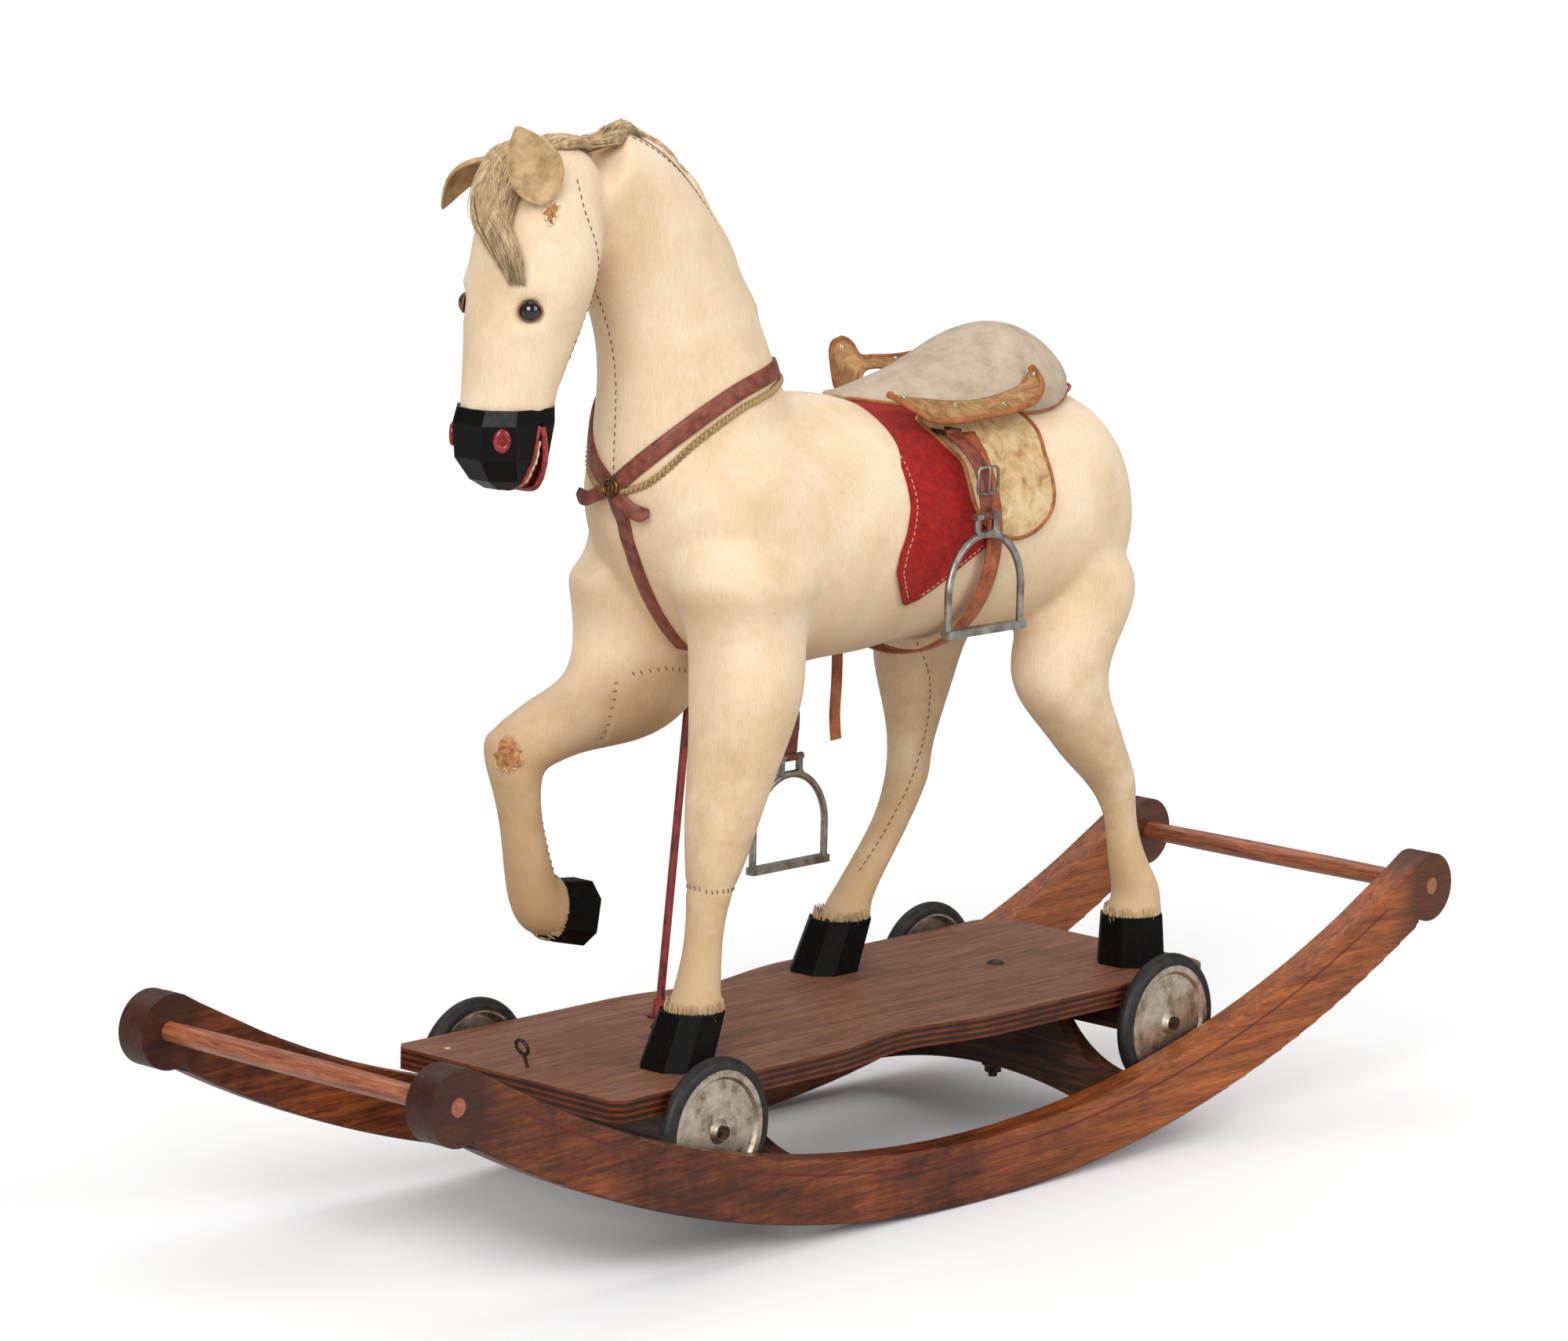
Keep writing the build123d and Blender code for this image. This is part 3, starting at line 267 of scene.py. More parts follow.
# %% [markdown]
# A grid of points becomes a mesh of quads. Where the grid closes on itself, the last row or
# column joins the first; open ends can be filled with a fan. Every new piece uses this.
# %% One grid to a mesh
def unit(v):
    """Vectors scaled to length one."""
    return v / np.maximum(np.linalg.norm(v, axis=-1, keepdims=True), 1e-12)


def full_turn(count):
    """This many angles, evenly round a circle."""
    return np.linspace(0, 2 * np.pi, count, endpoint=False)


def piece(name, points, material, wrap_rows=False, wrap_cols=False, cap=False, smooth=True):
    """Quads between neighbours of an array of rows x columns x 3; cap fills the first and last
    rows with one face each. Normals are made to point outwards afterwards."""
    p = np.asarray(points, float)
    rows, cols = p.shape[:2]
    index = np.arange(rows * cols).reshape(rows, cols)
    low = index if wrap_rows else index[:-1]
    high = np.roll(index, -1, 0) if wrap_rows else index[1:]
    if wrap_cols:
        a, b, c, d = low, np.roll(low, -1, 1), np.roll(high, -1, 1), high
    else:
        a, b, c, d = low[:, :-1], low[:, 1:], high[:, 1:], high[:, :-1]
    faces = np.stack([a, b, c, d], -1).reshape(-1, 4).tolist()
    if cap:
        faces += [index[0][::-1].tolist(), index[-1].tolist()]
    return mesh_piece(name, p.reshape(-1, 3), faces, material, smooth)


def mesh_piece(name, verts, faces, material, smooth=True):
    """A piece from vertices and faces, with doubles merged and normals outwards."""
    mesh = bpy.data.meshes.new(name)
    mesh.from_pydata(np.asarray(verts).tolist(), [], faces)
    work = bmesh.new()
    work.from_mesh(mesh)
    bmesh.ops.remove_doubles(work, verts=work.verts, dist=1e-6)
    bmesh.ops.recalc_face_normals(work, faces=work.faces)
    work.to_mesh(mesh)
    work.free()
    mesh.polygons.foreach_set("use_smooth", np.full(len(mesh.polygons), smooth))
    obj = bpy.data.objects.new(name, mesh)
    scene.collection.objects.link(obj)
    mesh.materials.append(material)
    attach(obj, BODY)
    return obj


print("a full turn in quarters", full_turn(4).round(3))

# %% [markdown]
# Thread, hair, piping and straps are all one section carried along a path. The section is a
# circle for a tube, and a flat shape with rounded edges for a strap.
# %% Tubes and straps
def ring_points(path, radius, sides, hint=(0.0, 0.0, 1.0)):
    """A tube: at each path point a circle in the plane across the path, its radius may vary."""
    path = np.asarray(path, float)
    along = unit(np.gradient(path, axis=0))
    side = unit(np.cross(along, np.asarray(hint, float)))
    over = np.cross(side, along)
    angle = full_turn(sides)
    r = np.broadcast_to(radius, (len(path),))[:, None, None]
    cosine, sine = np.cos(angle)[None, :, None], np.sin(angle)[None, :, None]
    return path[:, None] + r * (cosine * side[:, None] + sine * over[:, None])


def band_points(path, outwards, width, thickness, crown=0.0):
    """A strap: a flat section with rounded edges carried along a path, its back on the path."""
    path = np.asarray(path, float)
    along = unit(np.gradient(path, axis=0))
    out = unit(outwards - (outwards * along).sum(1, keepdims=True) * along)
    across = np.cross(along, out)
    w, t = 0.5, thickness
    section = np.array([
        (-w, t * 0.3), (-w, t * 0.7), (-w + 0.03, t), (-w * 0.5, t + crown * 0.8), (0, t + crown),
        (w * 0.5, t + crown * 0.8), (w - 0.03, t), (w, t * 0.7), (w, t * 0.3), (w - 0.03, 0),
        (-w + 0.03, 0),
    ])
    wide = np.broadcast_to(width, (len(path),))[:, None, None]
    sideways = wide * section[None, :, :1] * across[:, None]
    return path[:, None] + sideways + section[None, :, 1:] * out[:, None]


def bundle(name, tubes, material):
    """Many closed tubes as one mesh, from an array of tubes x rows x sides x 3."""
    count, rows, sides = tubes.shape[:3]
    block = np.arange(rows * sides).reshape(rows, sides)
    first = rows * sides * np.arange(count)[:, None, None]
    a, b = block[:-1], block[1:]
    quads = np.stack([a, np.roll(a, -1, 1), np.roll(b, -1, 1), b], -1).reshape(-1, 4)
    ends = np.stack([block[0][::-1], block[-1]])
    faces = (quads + first).reshape(-1, 4).tolist() + (ends + first).reshape(-1, sides).tolist()
    return mesh_piece(name, tubes.reshape(-1, 3), faces, material)


def round_tubes(path, radius, side, over, sides):
    """Circles of this radius round each point of many paths, in the plane of side and over."""
    angle = full_turn(sides)[:, None]
    circle = np.cos(angle) * side[..., None, :] + np.sin(angle) * over[..., None, :]
    return path[..., None, :] + radius * circle


def closed_tube(name, path, radius, sides, material, hint=(0.0, 0.0, 1.0)):
    """One tube along an open path, with both ends filled."""
    return loft(name, ring_points(path, radius, sides, hint), material)


def strap(name, path, outwards, width, material, thickness=0.0022, crown=0.0002):
    """One strap along an open path, with both ends filled."""
    return loft(name, band_points(path, outwards, width, thickness, crown), material)


def loft(name, rings, material):
    """Rings of points joined into a closed form, with the first and last ring filled."""
    return piece(name, rings, material, wrap_cols=True, cap=True)


def hoop(name, rings, material):
    """Rings of points joined into a form that closes on itself, like a torus."""
    return piece(name, rings, material, wrap_rows=True, wrap_cols=True)


print("tube of two rings and eight sides", ring_points(mm((0, 0, 0), (9, 0, 0)), MM, 8).shape)

# %% [markdown]
# The horse is a stuffed form with short-haired calf hide sewn over it. The solids give its
# barrel, neck, head and legs as separate lofts with hard joints. To sew them together, their
# meshes are copied and merged, remade as one skin of even small faces, and smoothed, so that
# shoulders and thighs flow out of the barrel. Then the skin is pushed and pulled in code.
# %% One skin from the horse's solids
HIDE_NODES = [
    "body", "neck", "head", "left_foreleg_upper", "left_foreleg_cuff", "right_foreleg",
    "left_hind_leg", "right_hind_leg",
]
VOXEL = 0.004
SMOOTHING_ROUNDS = 14


def joined_copy(name, node_names):
    """One object with copies of these nodes' meshes."""
    parts = []
    for node_name in node_names:
        copy = bpy.data.objects.new(name, nodes[node_name].data.copy())
        scene.collection.objects.link(copy)
        parts.append(copy)
    with bpy.context.temp_override(active_object=parts[0], selected_editable_objects=parts):
        bpy.ops.object.join()
    return parts[0]


def skin(name, node_names, voxel, rounds):
    """The merged copies as one even skin, smoothed this many rounds."""
    obj = joined_copy(name, node_names)
    remesh = obj.modifiers.new("even_faces", "REMESH")
    remesh.mode, remesh.voxel_size = "VOXEL", voxel
    soften = obj.modifiers.new("soften", "SMOOTH")
    soften.factor, soften.iterations = 0.5, rounds
    depsgraph = bpy.context.evaluated_depsgraph_get()
    mesh = bpy.data.meshes.new_from_object(obj.evaluated_get(depsgraph))
    obj.modifiers.clear()
    obj.data = mesh
    obj.name = name
    mesh.materials.clear()
    mesh.polygons.foreach_set("use_smooth", np.ones(len(mesh.polygons), bool))
    return obj


def coords(mesh):
    """Vertex positions of a mesh as an array."""
    out = np.empty(len(mesh.vertices) * 3)
    mesh.vertices.foreach_get("co", out)
    return out.reshape(-1, 3)


def vertex_normals(mesh):
    """Vertex normals of a mesh as an array."""
    out = np.empty(len(mesh.vertices) * 3)
    mesh.vertex_normals.foreach_get("vector", out)
    return out.reshape(-1, 3)


hide = skin("sewn_hide", HIDE_NODES, VOXEL, SMOOTHING_ROUNDS)
print("hide faces", len(hide.data.polygons))

# %% [markdown]
# Sculpting in code: a soft push moves points near a centre along their own normals, by an
# amount that falls off like a bell. A groove does the same along a line, inwards, for a seam.
# %% Push, groove and stretch the skin
def bell(points, centre, reach):
    """exp of minus the squared distance from centre in units of reach, per axis."""
    return np.exp(-(((points - centre) / reach) ** 2).sum(1))


def distance_to_line(points, line):
    """Shortest distance from each point to a polyline, worked out over all its stretches."""
    best = np.full(len(points), 1e9)
    for a, b in zip(line[:-1], line[1:]):
        d = b - a
        t = np.clip(((points - a) @ d) / max(d @ d, 1e-12), 0, 1)
        best = np.minimum(best, np.linalg.norm(points - (a + t[:, None] * d), axis=1))
    return best


def mirrored(line):
    """The same line on the other side of the horse."""
    return [(x, -y, z) for x, y, z in line]


HEAD_SEAM = [
    (-356, -46, 862), (-352, -48, 836), (-340, -48, 805), (-330, -42, 775), (-338, -34, 745),
    (-352, -26, 715),
]
NECK_SEAM = [
    (-262, 0, 600), (-258, -32, 612), (-236, -58, 643), (-196, -70, 668), (-150, -62, 679),
    (-112, -24, 684),
]
SEAMS = {  # lines sewn in the hide, in millimetres
    "head_left": HEAD_SEAM,
    "head_right": mirrored(HEAD_SEAM),
    "throat": [
        (-296, 0, 775), (-286, 0, 744), (-275, 0, 699), (-272, 0, 650), (-266, 0, 600),
        (-250, 0, 545),
    ],
    "crest_left": [
        (-322, -14, 893), (-283, -17, 886), (-240, -19, 862), (-196, -19, 826), (-158, -18, 775),
        (-128, -16, 725), (-104, -12, 692),
    ],
    "neck_ring_left": NECK_SEAM,
    "neck_ring_right": mirrored(NECK_SEAM),
    "cuff": [
        (-245, -74, 283), (-236, -92, 281), (-214, -93, 280), (-202, -76, 279), (-212, -56, 280),
        (-236, -57, 282), (-245, -74, 283),
    ],
    "raised_front": [(-212, 38, 440), (-180, 36, 444), (-150, 40, 440)],
    "raised_inner": [(-222, 42, 436), (-232, 38, 412), (-236, 40, 385)],
    "shin_back": [(-283, 62, 360), (-281, 58, 330), (-276, 56, 300), (-266, 56, 275)],
    "hind_right": [
        (140, 42, 440), (163, 42, 395), (172, 46, 345), (165, 60, 300), (145, 68, 262),
        (118, 76, 222),
    ],
    "hind_left": [(216, -44, 420), (240, -50, 360), (268, -54, 310), (292, -58, 260), (303, -58, 220)],
    "belly": [(-120, 0, 440), (0, 0, 442), (120, 0, 442), (230, 0, 444)],
}
PUSHES = [  # centre, reach per axis, push outwards: cheeks, eye brows, brisket, muscles
    ((-352, -44, 790), (26, 20, 34), 5.0), ((-352, 44, 790), (26, 20, 34), 5.0),
    ((-404, -34, 776), (12, 12, 9), 3.0), ((-404, 34, 776), (12, 12, 9), 3.0),
    ((-402, -34, 742), (12, 12, 9), 1.5), ((-402, 34, 742), (12, 12, 9), 1.5),
    ((-404, 0, 720), (20, 14, 30), -2.0),
    ((-372, -44, 735), (24, 14, 26), -3.0), ((-372, 44, 735), (24, 14, 26), -3.0),
    ((-205, -100, 440), (40, 30, 55), 5.0), ((-205, 100, 450), (40, 30, 55), 4.0),
    ((235, -95, 470), (55, 30, 60), 6.0), ((225, 95, 470), (55, 30, 60), 6.0),
    ((-110, -104, 600), (50, 30, 50), -3.0), ((-110, 104, 600), (50, 30, 50), -3.0),
    ((-226, -74, 345), (16, 20, 26), 2.0), ((-318, 70, 402), (14, 20, 12), 3.0),
    ((286, -74, 300), (14, 14, 16), 3.0), ((190, 74, 306), (14, 14, 16), 3.0),
    ((-250, 0, 560), (24, 18, 60), -4.0),
]
LEG_ENDS = [  # where hide tucks into a hoof or the muzzle: centre, direction, reach, pull, flare
    ((-241, -74, 184), (0, 0, -1), 34, 8.0, 3.5), ((309, -74, 184), (0, 0, -1), 34, 8.0, 3.5),
    ((106, 84, 184), (0, 0, -1), 34, 8.0, 3.0), ((-264, 70, 245), (0.985, 0, -0.17), 30, 8.0, 2.5),
    ((-391, 0, 680), (0, 0, -1), 60, 6.0, 1.5),
]
SEAM_DEPTH, SEAM_WIDTH = 1.6 * MM, 4.5 * MM
UNEVENNESS = 0.9 * MM  # slow waves of the stuffing under the hide
print("seams", len(SEAMS), "pushes", len(PUSHES), "leg ends", len(LEG_ENDS))

# %% [markdown]
# Now the tables are applied: pushes first, then grooves at the seams, then the slow waves of
# the stuffing. Last, the hide's ends are drawn over the hooves and the muzzle.
# %% Shape the skin and lay its search tree
skin_points = coords(hide.data)
skin_normals = vertex_normals(hide.data)
shift = np.zeros(len(skin_points))
for centre, reach, amount in PUSHES:
    shift += amount * MM * bell(skin_points, mm(centre)[0], np.array(reach) * MM)
for name, line in SEAMS.items():
    gap = distance_to_line(skin_points, smooth_line(mm(*line), 24))
    shift -= SEAM_DEPTH * np.exp(-((gap / SEAM_WIDTH) ** 2))
wave_one = np.sin(skin_points @ np.array([31.0, 17.0, 23.0]))
waves = wave_one * np.sin(skin_points @ np.array([-13.0, 29.0, 19.0]))
shift += UNEVENNESS * waves
skin_points = skin_points + skin_normals * shift[:, None]
for centre, direction, reach, pull, flare in LEG_ENDS:
    d = unit(np.array(direction, float))
    ahead = (skin_points - mm(centre)[0]) @ d
    radial = skin_points - mm(centre)[0] - ahead[:, None] * d
    across = np.linalg.norm(radial, axis=1)
    weight = np.clip(1 + ahead / 0.012, 0, 1) * (across < reach * MM) * (ahead < 0.02)
    skin_points += weight[:, None] * (d * pull + unit(radial) * flare) * MM
hide.data.vertices.foreach_set("co", skin_points.ravel())
hide.data.update()
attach(hide, BODY)
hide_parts(*HIDE_NODES)
hide_tree = BVHTree.FromObject(hide, bpy.context.evaluated_depsgraph_get())


def on_hide(points, lift=0.0):
    """The nearest points of the hide and the way out of it there, lifted off by lift."""
    found = [hide_tree.find_nearest(Vector(p)) for p in np.asarray(points)]
    place = np.array([f[0] for f in found])
    out = unit(np.array([f[1] for f in found]))
    return place + out * lift, out


print("largest push in mm", round(float(np.abs(shift).max()) / MM, 2))


# %% [markdown]
# Calf hide: cream hair a few millimetres long, lying down the body. It reads as a soft, low
# sheen with faint mottling, darker and browner where hands and years have worn the legs, and
# browner with painted shade on the undersides and, mixed with wear, on the far raised foreleg
# under the chest. Sheen gives the pale rim that short hair has; the bump is hair drawn coarse
# enough to show.
# %% Calf hide
def hide_colour(tree):
    """Cream with slow mottling, fine hair streaks and dirt that rises from the legs; painted shade
    under the body and under the chest.
    """
    slow = pattern(tree, 90, Detail=4.0, Roughness=0.6)
    base = ramp(tree, slow, [(0.32, "#DABF99"), (0.5, "#E6CDAC"), (0.68, "#EDD9BE")])
    hair = pattern(tree, 1.6, stretch=(1, 1, 6), Detail=4.0, Distortion=0.6)
    streak = ramp(tree, hair, [(0.35, "#DCC9AC"), (0.6, "#FFFFFF")])
    base = blend_colour(tree, 0.22, base, streak, "MULTIPLY")
    place = axes(tree)
    patches = pattern(tree, 38, Detail=5.0, Roughness=0.65)
    low = maths(tree, "MULTIPLY", maths(tree, "SUBTRACT", 0.47, place[2]), 2.4)
    dirt = maths(tree, "MULTIPLY", maths(tree, "SUBTRACT", maths(tree, "ADD", low, patches), 0.62), 1.5)
    dirt = clamp(tree, dirt, 0.0, 0.62)
    base = blend_colour(tree, dirt, base, "#B08D60")
    # Painted shade: surfaces that face downwards are blended towards a darker orange-brown.
    facing = add(
        tree, "ShaderNodeSeparateXYZ",
        {"Vector": add(tree, "ShaderNodeNewGeometry").outputs["Normal"]},
    ).outputs[2]
    under = maths(
        tree, "MULTIPLY", maths(tree, "MAXIMUM", maths(tree, "MULTIPLY", facing, -1.0), 0.0), 0.5
    )
    base = blend_colour(tree, under, base, "#CFA66F")
    # Painted shade with some wear: the far raised foreleg, ahead, on the far side and below the chest,
    # is browned.
    ahead = slope(tree, place[0], -0.13, -9.0, 0.5)
    right_side = slope(tree, place[1], 0.012, 30.0, 0.5)
    low = slope(tree, place[2], 0.46, -14.0, 0.5)
    chest_shade_and_wear = maths(tree, "MINIMUM", maths(tree, "MINIMUM", ahead, right_side), low)
    base = blend_colour(tree, chest_shade_and_wear, base, "#9E7444")
    spots = pattern(tree, 16, Detail=3.0)
    spot = maths(tree, "MULTIPLY", maths(tree, "GREATER_THAN", spots, 0.73), 0.25)
    base = blend_colour(tree, spot, base, "#C79F66")
    marks = pattern(tree, 7, Detail=6.0, Roughness=0.7)
    mark = maths(tree, "MULTIPLY", maths(tree, "GREATER_THAN", marks, 0.715), 0.45)
    return blend_colour(tree, mark, base, "#A87B45")


def hide_bump(tree):
    """Fine lying hair over a faint unevenness of the stuffing."""
    hair = pattern(tree, 1.6, stretch=(1, 1, 8), Detail=4.0, Distortion=0.8)
    lumps = pattern(tree, 14, Detail=2.0)
    return maths(tree, "ADD", hair, maths(tree, "MULTIPLY", lumps, 1.2))


calf_hide = finish(
    "calf_hide_short_haired", 0.78, hide_bump, 0.35, hide_colour, Sheen_Weight=0.12,
    Sheen_Roughness=0.4, Specular_IOR_Level=0.25,
)
hide.data.materials.append(calf_hide)
print("finish", calf_hide.name)

# %% [markdown]
# Seams are sewn with waxed thread. Each stitch is a short, slightly humped tube that dips
# into the hide at both ends. All stitches of a seam are one mesh, made as one array.
# %% Waxed thread stitches
waxed_thread = finish("waxed_linen_thread", 0.6, colour="#6E4E30")
pale_thread = finish("cream_linen_thread", 0.7, colour="#D9C29A")


def stitches(name, line, length, gap, radius, material, slant=0.0):
    """Short tubes along a line on the hide: centre, then a half wave of height along each
    stitch, so that its two ends go under the surface."""
    dense = smooth_line(line, 160)
    whole = travelled(dense)[-1]
    count = max(2, int(whole / (length + gap)))
    where = (np.arange(count) + 0.5) * whole / count
    centre = at_distance(dense, where)
    ahead = unit(at_distance(dense, where + MM) - centre + 1e-9)
    spot, out = on_hide(centre)
    side = unit(np.cross(ahead, out))
    run = unit(ahead * np.cos(slant) + side * np.sin(slant))
    t = np.linspace(-1, 1, 6)
    hump = np.sqrt(np.clip(1 - t**2, 0, 1)) * radius * 2.2 - radius * 0.9
    lengthwise = run[:, None] * (t[None, :, None] * length / 2)
    path = spot[:, None] + lengthwise + out[:, None] * hump[None, :, None]
    cross = unit(np.cross(run, out))
    return bundle(name, round_tubes(path, radius, cross[:, None], out[:, None], 6), material)


STITCH_LENGTH, STITCH_GAP, THREAD_RADIUS = 0.0042, 0.0024, 0.00042
STITCH_SLANTS = {"cuff": 1.3, "raised_front": 1.2, "raised_inner": 1.2, "shin_back": 1.35}
for name, line in SEAMS.items():
    sewn = stitches(
        f"stitches_{name}", mm(*line), STITCH_LENGTH, STITCH_GAP, THREAD_RADIUS, waxed_thread,
        STITCH_SLANTS.get(name, 0.15),
    )
    print("sewn", name, len(sewn.data.polygons))

# %% [markdown]
# Where the seams cross at the base of the neck, a braided twine covers the join. Two strands
# wind round each other: each is a tube whose centre circles the seam line.
# %% Braided twine at the neck
def twine(name, line, radius, pitch, material, lift):
    """Two tubes whose centres circle a line on the hide, half a turn apart, once per pitch."""
    spot, out = on_hide(smooth_line(line, 260), lift)
    far = travelled(spot)
    along = unit(np.gradient(spot, axis=0))
    side = unit(np.cross(along, out))
    strands = []
    for phase in (0.0, np.pi):
        angle = (2 * np.pi * far / pitch + phase)[:, None]
        path = spot + radius * (np.cos(angle) * side + np.sin(angle) * out)
        strands.append(closed_tube(f"{name}_{len(strands)}", path, radius, 7, material))
    return strands


twine_fibre = finish("jute_twine", 0.85, noise(1.0, (1, 1, 3), Detail=2.0), 0.2, "#A88A5E")
TWINE_RADIUS, TWINE_PITCH, TWINE_LIFT = 0.0016, 0.009, 0.0012
for side in SIDES:
    seam = mm(*SEAMS[f"neck_ring_{side}"])
    for strand in twine(
        f"neck_twine_{side}", seam, TWINE_RADIUS, TWINE_PITCH, twine_fibre, TWINE_LIFT
    ):
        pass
print("twine", twine_fibre.name)

# %% [markdown]
# Where the hide has torn, at the knee and by the ear, bare leather shows. Each tear is a thin
# patch laid on the hide: its rim's radius wobbles with the angle.
# %% Tears in the hide
torn_leather = finish(
    "torn_brown_leather", 0.8, noise(2.0, Detail=6.0), 0.6,
    tinted([(0.35, "#8A5430"), (0.6, "#B98250"), (0.8, "#D2A878")], 4, Detail=6.0),
)


def tear(name, centre, out_way, width_mm, height_mm, seed):
    """A patch in rings: its rim's radius is an ellipse times a few random waves, its points
    are dropped on the hide; a rolled rim of hide stands round it."""
    rng = np.random.default_rng(seed)
    angle = full_turn(48)
    wobble = np.ones(48)
    for lobes in (2, 3, 5, 7, 11):
        wobble += rng.uniform(0.05, 0.14) * np.sin(lobes * angle + rng.uniform(0, 6))
    n = unit(np.array(out_way, float))
    a = unit(np.cross(n, (0.0, 0.0, 1.0)))
    b = np.cross(a, n)
    oval = width_mm / 2 * np.cos(angle)[:, None] * a + height_mm / 2 * np.sin(angle)[:, None] * b
    rows = []
    for share, lift in ((0.02, 0.9), (0.4, 0.8), (0.8, 0.6), (1.0, 0.25), (1.0, -0.8), (0.02, -0.8)):
        flat = mm(centre)[0] + share * wobble[:, None] * oval * MM
        rows.append(on_hide(flat, lift * MM)[0])
    patch = loft(name, np.array(rows), torn_leather)
    rim = smooth_loop(rows[3][::2], 72)
    swell = (0.9 + 0.5 * np.sin(np.linspace(0, 50, 73))) * MM
    lip_points = ring_points(np.vstack([rim, rim[:1]]), swell, 7, (0.2, 0.3, 0.9))[:-1]
    hoop(name + "_rim", lip_points, calf_hide)


tear("knee_tear", (-325, 59, 384), (-0.8, -0.55, 0.1), 19, 29, 3)
tear("ear_tear", (-384, -42, 835), (-0.6, -0.8, 0.2), 12, 17, 4)
print("finish", torn_leather.name)

# %% [markdown]
# Woods. The bows are stained softwood boards: the grain runs along the bow, the stain has
# gathered dark at the ends and edges, and a painted line follows the bow's upper edge. The
# platform is plywood, so its top is brown veneer and its edge shows the plies as bands.
# %% Woods
def grain(tree, light, mid, dark, width_mm=5.0, along=(14, 1, 1)):
    """Wood grain: noise stretched along the board, with finer dark pores over it."""
    broad = pattern(tree, width_mm, stretch=along, Detail=5.0, Roughness=0.6, Distortion=0.8)
    base = ramp(tree, broad, [(0.30, dark), (0.5, mid), (0.72, light)])
    pores = pattern(tree, 0.9, stretch=(22, 1, 1) if along[0] > along[1] else (1, 22, 1), Detail=3.0)
    dots = ramp(tree, pores, [(0.36, "#6A5040"), (0.5, "#FFFFFF")])
    return blend_colour(tree, 0.5, base, dots, "MULTIPLY")


BOW_ARC_Z, PAINTED_LINE_RADIUS = 1.24, 1.1985  # the bows' arc: height of its centre, and size
BOW_OUTER_Y = 0.1785
PLATFORM_UNDERSIDE, PLY_THICKNESS = 0.122, 0.0052


def bow_colour(tree):
    """Stained board with cloudy dark stain, painted light that makes the rear half lighter and more
    orange, and a thin dark red line near the upper edge.
    """
    base = grain(tree, "#9E5526", "#7C3C1A", "#4E240F", 6.0)
    cloud = pattern(tree, 120, Detail=5.0, Roughness=0.65)
    shade = ramp(tree, cloud, [(0.36, "#5A3826"), (0.58, "#FFFFFF")])
    base = blend_colour(tree, 0.75, base, shade, "MULTIPLY")
    xyz = axes(tree)
    # Painted light: towards the rear the board turns to a lighter, more orange grain.
    painted_light_rear = slope(tree, xyz[0], 0.0, 2.6, 0.75)
    base = blend_colour(tree, painted_light_rear, base, grain(tree, "#C4702E", "#9C5220", "#6A3412", 7.0))
    end = slope(tree, maths(tree, "ABSOLUTE", xyz[0]), 0.545, 20.0, 0.75)
    base = blend_colour(tree, end, base, "#2C130A")
    rise = maths(tree, "SUBTRACT", xyz[2], BOW_ARC_Z)
    radius = maths(
        tree, "SQRT",
        maths(
            tree, "ADD", maths(tree, "MULTIPLY", xyz[0], xyz[0]),
            maths(tree, "MULTIPLY", rise, rise),
        ),
    )
    off = maths(tree, "ABSOLUTE", maths(tree, "SUBTRACT", radius, PAINTED_LINE_RADIUS))
    line = maths(tree, "LESS_THAN", off, 0.0012)
    outside = maths(tree, "GREATER_THAN", maths(tree, "ABSOLUTE", xyz[1]), BOW_OUTER_Y)
    within = maths(tree, "LESS_THAN", maths(tree, "ABSOLUTE", xyz[0]), 0.54)
    line = maths(
        tree, "MULTIPLY", maths(tree, "MULTIPLY", line, outside),
        maths(tree, "MULTIPLY", within, 0.8),
    )
    return blend_colour(tree, line, base, "#5A1512")


def ply_colour(tree):
    """Brown veneer on top, alternating pale and dark plies on the edge, worn scratches."""
    top = grain(tree, "#96694E", "#825640", "#6E4533", 9.0)
    scratch = pattern(tree, 3.0, stretch=(9, 0.7, 1), Detail=6.0, Distortion=2.5)
    top = blend_colour(
        tree, 0.35, top, ramp(tree, scratch, [(0.60, "#FFFFFF"), (0.72, "#5B4335")]), "MULTIPLY"
    )
    z = axes(tree)[2]
    rise = maths(tree, "SUBTRACT", z, PLATFORM_UNDERSIDE)
    phase = maths(tree, "FRACT", maths(tree, "MULTIPLY", rise, 1 / PLY_THICKNESS))
    plies = ramp(tree, phase, [(0.38, "#6A3212"), (0.52, "#351607")])
    plies = blend_colour(
        tree, 0.6, plies,
        ramp(tree, pattern(tree, 9, (3, 3, 1), Detail=4.0), [(0.35, "#8A6A50"), (0.6, "#FFFFFF")]),
        "MULTIPLY",
    )
    normal_z = add(
        tree, "ShaderNodeSeparateXYZ",
        {"Vector": add(tree, "ShaderNodeNewGeometry").outputs["Normal"]},
    ).outputs[2]
    edge = maths(tree, "LESS_THAN", maths(tree, "ABSOLUTE", normal_z), 0.5)
    return blend_colour(tree, edge, top, plies)


bow_wood = finish(
    "stained_softwood_bow", 0.42, noise(1.4, (18, 1, 1), Detail=4.0), 0.25, bow_colour,
    Coat_Weight=0.1, Coat_Roughness=0.3, Specular_IOR_Level=0.35,
)
rung_wood = finish(
    "varnished_turned_beech", 0.35, noise(1.2, (1, 18, 1), Detail=3.0), 0.12,
    lambda t: grain(t, "#B8704A", "#9C5836", "#703A20", 4.0, (1, 14, 1)), Coat_Weight=0.3,
    Coat_Roughness=0.25,
)
support_wood = finish(
    "dark_stained_board", 0.5, noise(1.6, (1, 18, 1), Detail=4.0), 0.3,
    lambda t: grain(t, "#5E3A26", "#3E2316", "#24120B", 6.0, (1, 14, 1)),
)
platform_ply = finish(
    "stained_plywood", 0.5, noise(1.2, (20, 1, 1), Detail=4.0), 0.15, ply_colour,
    Specular_IOR_Level=0.35,
)
print("woods", [m.name for m in (bow_wood, rung_wood, support_wood, platform_ply)])

